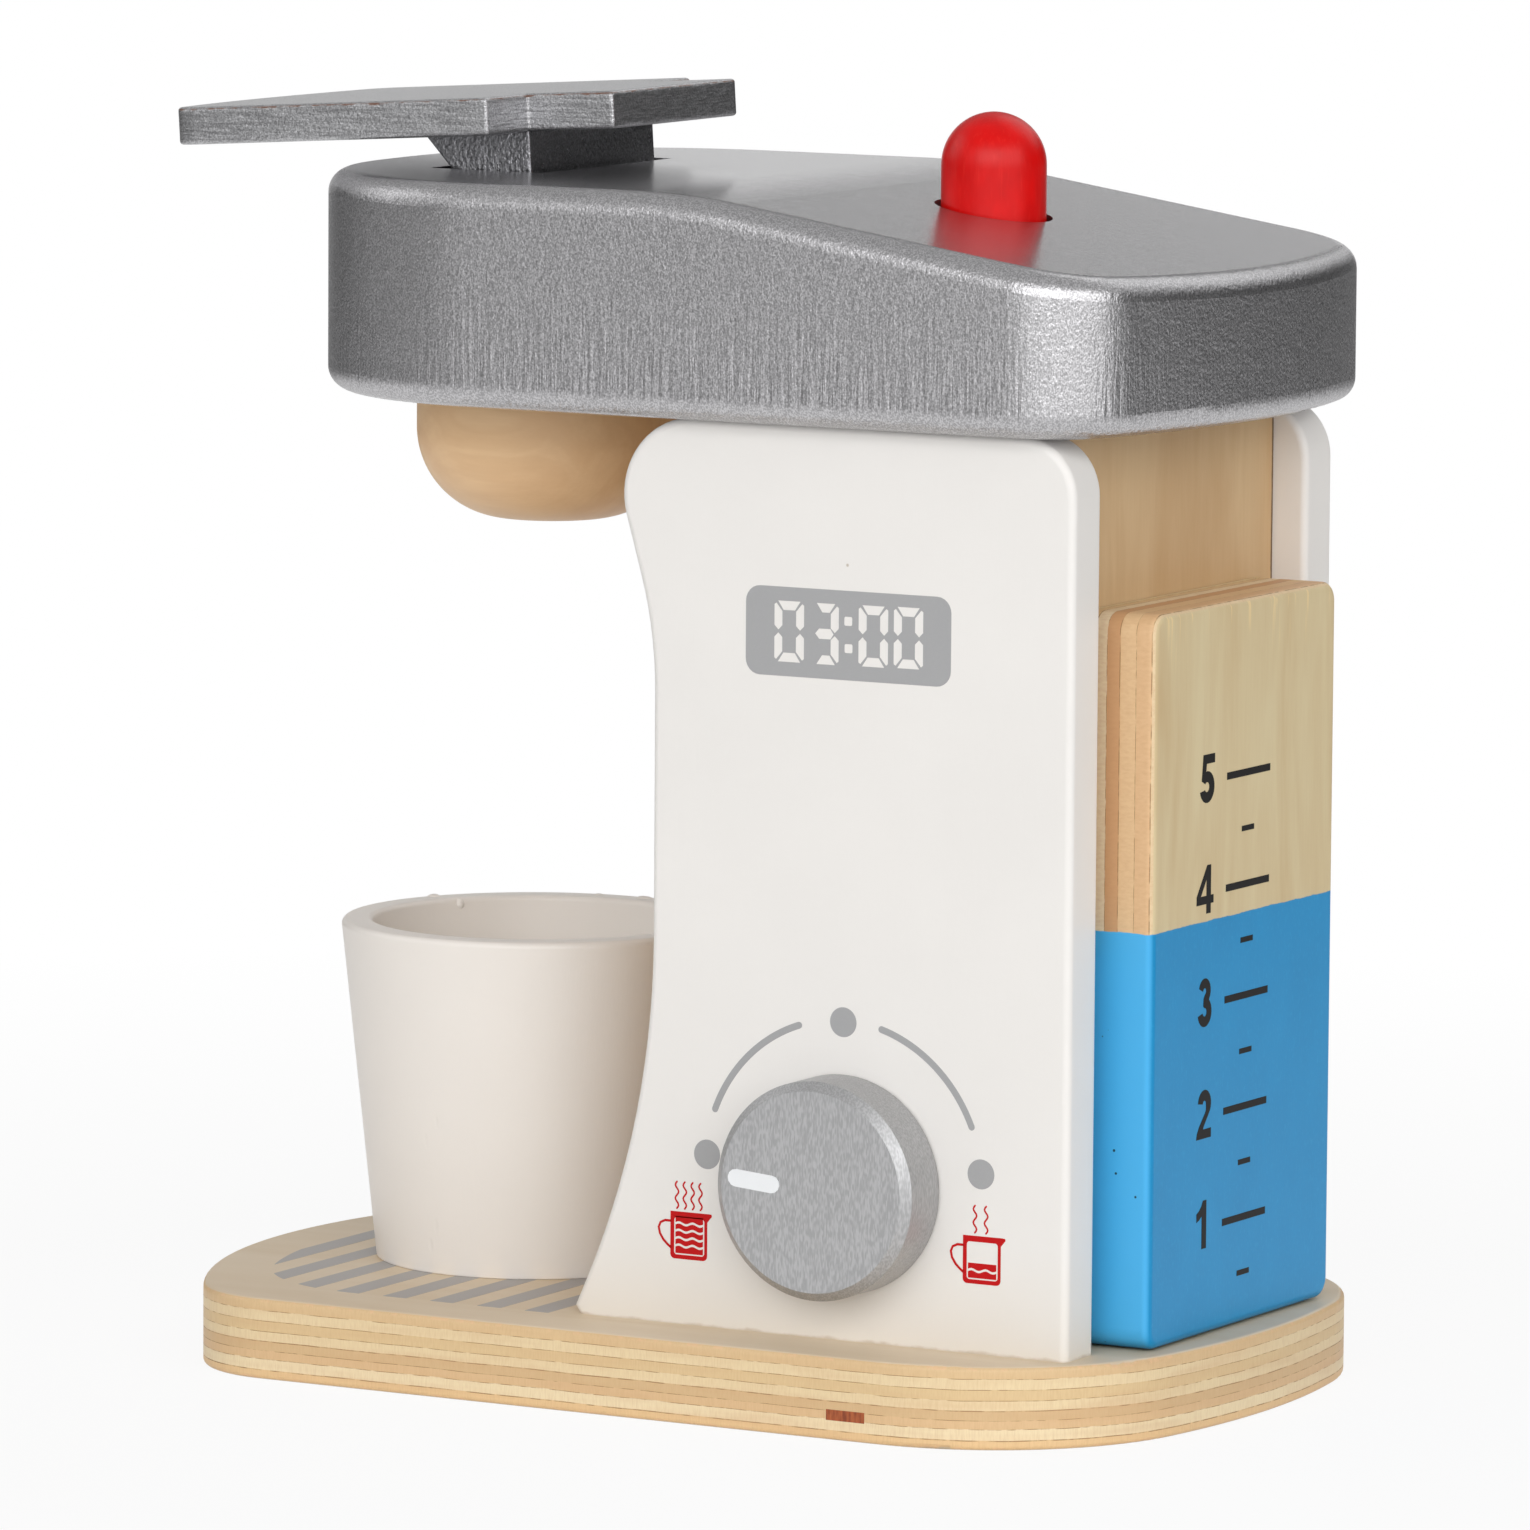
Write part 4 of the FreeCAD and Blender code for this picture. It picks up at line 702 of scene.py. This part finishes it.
def digit_segments(width, lit):
    """The lit segments of a seven-segment digit whose lower left corner is the origin."""
    top, middle, thick, gap, cut = DIGIT_HEIGHT, DIGIT_HEIGHT / 2, SEGMENT, SEGMENT_GAP, SEGMENT_CUT
    shapes = {
        "top": [(cut + gap, top), (thick + gap, top - thick),
                (width - thick - gap, top - thick), (width - cut - gap, top)],
        "low": [(cut + gap, 0), (width - cut - gap, 0), (width - thick - gap, thick), (thick + gap, thick)],
        "middle": [(0.35, middle), (1.0, middle - 0.74), (width - 1.35, middle - 0.74), (width - 0.85, middle),
                   (width - 1.35, middle + 0.74), (1.0, middle + 0.74)],
    }
    side = [(0, middle + 0.85), (thick / 2, middle + 0.2), (thick, middle + 0.85), (thick, top - thick - gap),
            (cut - 0.1, top - 0.32), (0, top - 0.55)]
    shapes["left_up"] = side
    shapes["left_down"] = [(x, top - y) for x, y in side][::-1]
    shapes["right_up"] = [(width - x, y) for x, y in side][::-1]
    shapes["right_down"] = [(width - x, top - y) for x, y in side]
    return [shapes[name] for name in lit]


ZERO_LIT = ("top", "low", "left_up", "left_down", "right_up", "right_down")
THREE_LIT = ("top", "low", "middle", "right_up", "right_down")

# The digits, each by its lower left corner, its width and its lit segments, and the colon's two dots

DIGITS = ((23.1, 109.15, 4.85, ZERO_LIT), (29.4, 109.15, 4.2, THREE_LIT),
          (36.8, 109.25, 4.8, ZERO_LIT), (42.5, 109.35, 4.75, ZERO_LIT))
COLON = ((34.48, 114.9), (34.55, 111.0))
COLON_SIZE = 1.3
COLON_CORNER = 0.25


def print_display(ink):
    field = rounded_box(*DISPLAY_LOW, *DISPLAY_HIGH, DISPLAY_CORNER)
    holes = []
    for x, z, width, lit in DIGITS:
        holes += [[(x + u, z + v) for u, v in shape] for shape in digit_segments(width, lit)]
    for x, z in COLON:
        holes.append(rounded_box(x, z, x + COLON_SIZE, z + COLON_SIZE, COLON_CORNER))
    print_on("display", "housing", on_panel, [[field, *holes]], ink)


# Dial marks: three dots, two arcs and a jug at each end

MARK_RADIUS = 22.6
MARK_CENTRE = (34.95, 35.65)
DOTS = ((12.6, 37.1), (34.8, 58.0), (57.3, 37.9))
DOT_RADIUS = 2.15
ARCS = ((158.8, 109.0), (74.4, 23.2))
ARC_WIDTH = 1.0


def print_dial(ink):
    shapes = [disc(x, z, DOT_RADIUS) for x, z in DOTS]
    for start, end in ARCS:
        shapes.append(stroke(arc_points(*MARK_CENTRE, MARK_RADIUS, start, end, 24), ARC_WIDTH))
    print_on("dial_marks", "housing", on_panel, shapes, ink)


# The two jugs, each by its lower left corner, its number of waves and its steam lines' offsets

JUGS = ((6.6, 21.5, 4, (1.05, 2.35, 3.65, 4.95)), (54.5, 22.1, 1, (1.9, 3.7)))
JUG_WIDTH = 6.1
JUG_HEIGHT = 6.9
JUG_WALL = 0.62
JUG_CORNER = 0.7
BAND_HEIGHT = 1.08
BAND_GAP = 0.17
WAVE_SWING = 0.17
WAVE_STEPS = 16
HANDLE_WIDTH = 0.36
STEAM_RISE = 3.9
STEAM_SWING = 0.27
STEAM_WIDTH = 0.26


def jug(x, z, waves, steam):
    """A measuring jug icon: frame, handle, filled bands between bare waves, and steam."""
    right, top, corner = x + JUG_WIDTH, z + JUG_HEIGHT, JUG_CORNER
    frame_line = arc_points(right - corner, z + corner, corner, 270, 360, 5)
    frame_line += [(right, top - 1.25), (right + 0.75, top - 0.35)]
    frame_line += [(right + 0.7, top - 0.05), (right + 0.2, top)]
    frame_line += [(x, top)] + arc_points(x + corner, z + corner, corner, 180, 270, 5)
    inside = rounded_box(x + JUG_WALL, z + JUG_WALL, right - 0.48, top - 0.85, 0.45)
    shapes = [[frame_line, inside]]
    low, high = z + JUG_WALL + 0.2, z + JUG_WALL + 0.2 + BAND_HEIGHT * (waves + 1)
    left_in, right_in = x + JUG_WALL + 0.22, right - 0.7
    step = (high - low) / (waves + 1)
    edges = [[(left_in, low), (right_in, low)]]
    for n in range(1, waves + 1):
        edges.append([
            (left_in + (right_in - left_in) * k / WAVE_STEPS,
             low + step * n + WAVE_SWING * math.sin(k * math.pi / 4))
            for k in range(WAVE_STEPS + 1)
        ])
    edges.append([(left_in, high), (right_in, high)])
    for n in range(waves + 1):
        floor = [(u, v + (BAND_GAP if n else 0)) for u, v in edges[n]]
        roof = [(u, v - (BAND_GAP if n < waves else 0)) for u, v in edges[n + 1]]
        shapes.append(floor + roof[::-1])
    handle = [(x + 0.1, top - 1.45), (x - 0.9, top - 1.45), (x - 1.65, top - 1.8), (x - 1.95, top - 2.5),
              (x - 1.75, top - 3.4), (x - 1.15, top - 4.3), (x - 0.5, top - 4.9), (x + 0.1, top - 5.35)]
    shapes.append(stroke(handle, HANDLE_WIDTH, round_ends=False))
    for start in steam:
        wave = [
            (x + start + STEAM_SWING * math.sin(k * math.pi / 4), top + 0.45 + STEAM_RISE * k / WAVE_STEPS)
            for k in range(WAVE_STEPS + 1)
        ]
        shapes.append(stroke(wave, STEAM_WIDTH))
    return shapes


def print_jugs(ink):
    shapes = [shape for place in JUGS for shape in jug(*place)]
    print_on("jug_marks", "housing", on_panel, shapes, ink)


POINTER = ((22.75, 35.85), (28.6, 35.35))
POINTER_WIDTH = 2.55


def print_pointer(ink):
    shapes = [stroke(list(POINTER), POINTER_WIDTH)]
    print_on("dial_pointer", "dial", on_knob, shapes, ink, POINTER_PROUD)


# Level scale on the tank: a long tick at each numeral, and a short one half a step under it

SCALE_TOP = 92.55
SCALE_STEP = 16.17
LONG_TICK = (-5.6, 8.1)
LONG_TICK_WIDTH = 1.05
SHORT_TICK = (-0.75, 3.15)
SHORT_TICK_WIDTH = 0.8
NUMERAL_PLACES = {5: (-14.4, 89.35), 4: (-14.75, 73.4), 3: (-14.3, 57.1), 2: (-14.2, 40.9), 1: (-13.8, 24.9)}


def level_numeral(number):
    """A bold upright numeral 7 mm high whose lower left corner is the origin."""
    if number == 1:
        return [[(1.75, 0), (3.2, 0), (3.2, 7.0), (2.1, 7.0), (1.6, 6.2), (0.9, 5.6), (0.1, 5.25), (0.1, 4.0),
                 (0.95, 4.3), (1.75, 4.8)]]
    if number == 4:
        outer = [(3.05, 0), (4.45, 0), (4.45, 1.4), (5.3, 1.4), (5.3, 2.6), (4.45, 2.6), (4.45, 7.0),
                 (3.25, 7.0), (0.0, 2.65), (0.0, 1.4), (3.05, 1.4)]
        return [outer, [(3.05, 2.6), (3.05, 4.95), (1.35, 2.6)]]
    if number == 2:
        outer = arc_points(2.65, 5.0, 2.05, 175, -35, 14)
        outer += [(2.45, 1.75), (2.25, 1.35), (4.75, 1.35), (4.75, 0), (0.15, 0)]
        outer += [(0.35, 0.9), (0.95, 1.75), (2.75, 3.55), (3.15, 4.1)]
        outer += arc_points(2.6, 4.95, 0.52, -5, 175, 8)
        return [outer]
    if number == 3:
        outer = arc_points(2.45, 5.15, 1.85, 165, -42, 12)
        outer += arc_points(2.45, 2.1, 2.15, 52, -168, 16)
        outer += [(1.65, 1.95)]
        outer += arc_points(2.45, 2.08, 0.60, 190, 452, 14)
        outer += [(2.0, 2.95), (2.1, 4.1)]
        outer += arc_points(2.4, 5.1, 0.48, -70, 180, 9)
        return [outer]
    outer = [(0.85, 3.25), (1.3, 7.0), (4.95, 7.0), (4.95, 5.65), (2.4, 5.65), (2.2, 4.5)]
    outer += arc_points(2.55, 2.3, 2.3, 88, -165, 16)
    outer += [(1.65, 1.85)]
    outer += arc_points(2.5, 2.3, 0.72, 208, 500, 14)
    return [outer]


def print_scale(ink):
    shapes = []
    for n in range(len(NUMERAL_PLACES)):
        z = SCALE_TOP - SCALE_STEP * n
        shapes.append(stroke([(LONG_TICK[0], z), (LONG_TICK[1], z)], LONG_TICK_WIDTH, round_ends=False))
        half = z - SCALE_STEP / 2
        shapes.append(stroke([(SHORT_TICK[0], half), (SHORT_TICK[1], half)], SHORT_TICK_WIDTH, round_ends=False))
    for number, (y, z) in NUMERAL_PLACES.items():
        shapes.append([[(y + u, z + v) for u, v in loop] for loop in level_numeral(number)])
    print_on("level_scale", "tank", on_tank, shapes, ink)


# Drip tray: grey stripes across the board, ended by an outline inside the board's own

STRIPE_PITCH = 8.03
STRIPE_WIDTH = 3.9
STRIPE_FIRST = -70.9
STRIPE_COUNT = 8
STRIPE_STEPS = 12
TRAY_HALF = 42.5
TRAY_BOW = 75.1
TRAY_BOW_CENTRE = 1.1
TRAY_CORNER = 25.0


def tray_half_width(x):
    """Half the tray's width at x: straight sides, a corner's arc and the bow of its front end."""
    across = TRAY_HALF - TRAY_CORNER
    corner_x = TRAY_BOW_CENTRE - math.sqrt((TRAY_BOW - TRAY_CORNER) ** 2 - across**2)
    turn = math.atan2(across, TRAY_BOW_CENTRE - corner_x)
    tangent_x = corner_x - TRAY_CORNER * math.cos(turn)
    if x >= corner_x:
        return TRAY_HALF
    if x >= tangent_x:
        return across + math.sqrt(max(TRAY_CORNER**2 - (x - corner_x) ** 2, 0.0))
    return math.sqrt(max(TRAY_BOW**2 - (x - TRAY_BOW_CENTRE) ** 2, 0.0))


def print_tray(ink):
    shapes = []
    for n in range(STRIPE_COUNT):
        middle = STRIPE_FIRST + STRIPE_PITCH * n
        start = max(middle - STRIPE_WIDTH / 2, TRAY_BOW_CENTRE - TRAY_BOW + 0.02)
        xs = [start + (middle + STRIPE_WIDTH / 2 - start) * k / STRIPE_STEPS for k in range(STRIPE_STEPS + 1)]
        near = [(x, -tray_half_width(x)) for x in xs]
        far = [(x, tray_half_width(x)) for x in xs]
        shapes.append(near + far[::-1])
    print_on("drip_tray", "housing", on_board, shapes, ink)


# Beads of paint left on the cup's rim: the middle of each and its half sizes

CUP_BEADS = (
    ((-65.9, 13.6, 62.5), (1.2, 1.2, 0.75)),
    ((-61.9, 14.4, 61.9), (0.75, 0.75, 0.9)),
    ((-37.8, 28.4, 62.5), (1.9, 1.0, 0.75)),
    ((-45.6, 28.3, 62.5), (1.1, 0.9, 0.6)),
)
BEAD_AROUND = 14
BEAD_ROWS = 7


def lay_beads(material):
    """Lopsided drops, sunk in the rim, as one closed piece."""
    points, faces, around, rows = [], [], BEAD_AROUND, BEAD_ROWS
    for (x, y, z), (rx, ry, rz) in CUP_BEADS:
        first = len(points)
        points.append((x, y, z - rz))
        for row in range(1, rows):
            tilt = math.pi * row / rows
            for step in range(around):
                turn = math.tau * step / around
                swell = math.sin(tilt) * (1 + 0.18 * math.cos(turn + 0.7) + 0.07 * math.cos(3 * turn))
                wide, deep = rx * swell * math.cos(turn), ry * swell * math.sin(turn)
                points.append((x + wide, y + deep, z - rz * math.cos(tilt)))
        points.append((x, y, z + rz))
        last = len(points) - 1
        for step in range(around):
            ahead = (step + 1) % around
            faces.append((first, first + 1 + ahead, first + 1 + step))
            faces.append((last, last - around + step, last - around + ahead))
            for row in range(rows - 2):
                low = first + 1 + row * around
                faces.append((low + step, low + ahead, low + around + ahead, low + around + step))
    mesh = bpy.data.meshes.new("cup_beads")
    mesh.from_pydata([tuple(v * MM for v in p) for p in points], [], faces)
    fix_normals(mesh)
    for face in mesh.polygons:
        face.use_smooth = True
    mesh.materials.append(material)
    beads = add_object("cup_beads", mesh)
    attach(beads, "cup")


# The repair's corners on the base's near edge: x and z of the lower left, then of the upper right

PATCH = (39.6, 2.9, 45.8, 4.45)


def lay_patch():
    """The dark repair set into one ply of the base's near edge."""
    graph = Graph("dark_patch")
    streaks = graph.noise(graph.stretched(0.5, 0.5, 3.0), detail=3.0)
    colour = graph.mix(graph.span(streaks, 0.35, 0.65), shade(128, 58, 26), shade(176, 92, 48))
    graph.set(Base_Color=colour, Roughness=0.6)
    graph.finish_normal(graph.bump(streaks, 0.1, 0.05))
    x0, z0, x1, z1 = PATCH
    shape = [(x0, z0), (x1, z0), (x1, z1), (x0, z1)]
    print_on("edge_patch", "housing", on_edge, [shape], graph.material)


def set_spring():
    """The button's spring, copied onto the housing with a mesh of its own, in place of the part's."""
    spring = add_object("button_coil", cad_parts["button_spring"].data.copy())
    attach(spring, "housing")
    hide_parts("button_spring")
    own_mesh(spring)


def make_prints():
    grey = ink_material("grey_ink", shade(166, 166, 167), wear=0.12)
    tray = ink_material("tray_ink", shade(176, 172, 170), speck=shade(200, 180, 150), wear=0.3)
    print_display(grey)
    print_dial(grey)
    print_jugs(ink_material("red_ink", shade(192, 8, 12), wear=0.1))
    print_pointer(ink_material("white_ink", shade(236, 238, 240), wear=0.05))
    print_scale(ink_material("black_ink", shade(14, 11, 11), speck=shade(44, 36, 34), wear=0.12))
    print_tray(tray)
    lay_patch()
    lay_beads(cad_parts["cup"].data.materials[0])


# Floor, backdrop and lights. Their sizes are in metres. The glows are how white the floor is to the camera near
# the object, and what a gloss sees in it near the object and in the sector towards TABLE_TURN.

FLOOR_HALF = 6.0
FLOOR_NEAR = (0.86, 0.86, 0.86, 1.0)
FLOOR_FAR = (0.32, 0.32, 0.32, 1.0)
NEAR_GLOW = 0.90
GLOSS_GLOW = 0.95
TABLE_GLOW = 1.0
TABLE_TURN = math.radians(36)
WORLD_FILL = 0.20
WORLD_GLOSS = 0.03
CEILING_GLOSS = 0.48
CEILING_SPAN = (0.14, 0.62)


def make_floor():
    """A pale sweep: white to the camera, keeping a soft shadow, and darker far from the object."""
    half = FLOOR_HALF
    mesh = bpy.data.meshes.new("floor")
    mesh.from_pydata([(-half, -half, 0), (half, -half, 0), (half, half, 0), (-half, half, 0)], [], [(0, 1, 2, 3)])
    floor = add_object("floor", mesh)
    graph = Graph("pale_floor")
    reach = graph.length(graph.place)
    graph.set(Base_Color=graph.mix(graph.span(reach, 0.4, 1.2), FLOOR_NEAR, FLOOR_FAR), Roughness=0.9)
    path = graph.nodes.new("ShaderNodeLightPath")
    white_here = graph.span(reach, 0.15, 0.45, NEAR_GLOW, 1.0)
    seen = graph.math("MULTIPLY", path.outputs["Is Camera Ray"], white_here)
    near = graph.span(reach, 0.3, 0.8, GLOSS_GLOW, 0.0)
    towards = graph.nodes.new("ShaderNodeVectorMath")
    towards.operation = "DOT_PRODUCT"
    graph.links.new(graph.place, towards.inputs[0])
    towards.inputs[1].default_value = (math.sin(TABLE_TURN), -math.cos(TABLE_TURN), 0.0)
    sector = graph.span(graph.math("DIVIDE", towards.outputs["Value"], reach), 0.42, 0.80, smooth=True)
    sector = graph.math("MULTIPLY", sector, graph.span(reach, 0.3, 0.8))
    table = graph.math("MULTIPLY", sector, TABLE_GLOW)
    mirrored = graph.math("MULTIPLY", path.outputs["Is Glossy Ray"], graph.math("ADD", near, table))
    glow = graph.nodes.new("ShaderNodeEmission")
    glow.inputs["Color"].default_value = WHITE
    mixer = graph.nodes.new("ShaderNodeMixShader")
    graph.links.new(graph.math("ADD", seen, mirrored, clamp=True), mixer.inputs["Fac"])
    graph.links.new(graph.surface.outputs["BSDF"], mixer.inputs[1])
    graph.links.new(glow.outputs["Emission"], mixer.inputs[2])
    graph.links.new(mixer.outputs["Shader"], graph.nodes["Material Output"].inputs["Surface"])
    mesh.materials.append(graph.material)


def make_world():
    """White to the camera, even and pale to matt surfaces, and a dim horizon under a pale ceiling to a gloss."""
    world = bpy.data.worlds.new("studio")
    bpy.context.scene.world = world
    world.use_nodes = True
    nodes, links = world.node_tree.nodes, world.node_tree.links
    path = nodes.new("ShaderNodeLightPath")
    split = nodes.new("ShaderNodeSeparateXYZ")
    links.new(nodes.new("ShaderNodeTexCoord").outputs["Generated"], split.inputs["Vector"])
    ceiling = nodes.new("ShaderNodeMapRange")
    ceiling.interpolation_type = "SMOOTHSTEP"
    links.new(split.outputs["Z"], ceiling.inputs["Value"])
    ceiling_range = (*CEILING_SPAN, WORLD_GLOSS, CEILING_GLOSS)
    for name, value in zip(("From Min", "From Max", "To Min", "To Max"), ceiling_range):
        ceiling.inputs[name].default_value = value
    reached = None
    for ray in ("Is Glossy Ray", "Is Camera Ray"):
        step = nodes.new("ShaderNodeMapRange")
        step.inputs["To Min"].default_value = WORLD_FILL
        step.inputs["To Max"].default_value = 1.0
        if reached is None:
            links.new(ceiling.outputs["Result"], step.inputs["To Max"])
        else:
            links.new(reached, step.inputs["To Min"])
        links.new(path.outputs[ray], step.inputs["Value"])
        reached = step.outputs["Result"]
    background = nodes["Background"]
    background.inputs["Color"].default_value = WHITE
    links.new(reached, background.inputs["Strength"])


LIGHT_AIM = (0.0, 0.0, 0.09)


def area_light(name, turn, height, distance, size, power, tall=None):
    """A soft box. turn is degrees round from -Y towards +X and height degrees above the floor."""
    data = bpy.data.lights.new(name, "AREA")
    data.shape = "RECTANGLE"
    data.size = size
    data.size_y = tall or size
    data.energy = power
    light = add_object(name, data)
    around, up = math.radians(turn), math.radians(height)
    away = Vector((math.sin(around) * math.cos(up), -math.cos(around) * math.cos(up), math.sin(up)))
    light.location = Vector(LIGHT_AIM) + away * distance
    light.rotation_euler = away.to_track_quat("Z", "Y").to_euler()
    light.visible_camera = False


def make_lights():
    area_light("key", turn=14, height=22, distance=1.9, size=1.5, power=15.5, tall=1.1)
    area_light("side", turn=64, height=21, distance=2.0, size=2.2, power=20, tall=1.3)
    area_light("front", turn=-26, height=18, distance=1.9, size=1.0, power=2.7)
    area_light("left", turn=-75, height=24, distance=1.9, size=1.2, power=5)
    area_light("top", turn=0, height=85, distance=1.7, size=1.9, power=1)
    area_light("back", turn=209, height=7, distance=2.0, size=1.7, power=3.1, tall=0.6)
    area_light("rear", turn=168, height=42, distance=2.0, size=1.6, power=6)


make_camera()
make_world()
make_lights()
make_floor()
dress_nodes()
make_prints()
set_spring()

bpy.context.scene.view_settings.view_transform = "Standard"
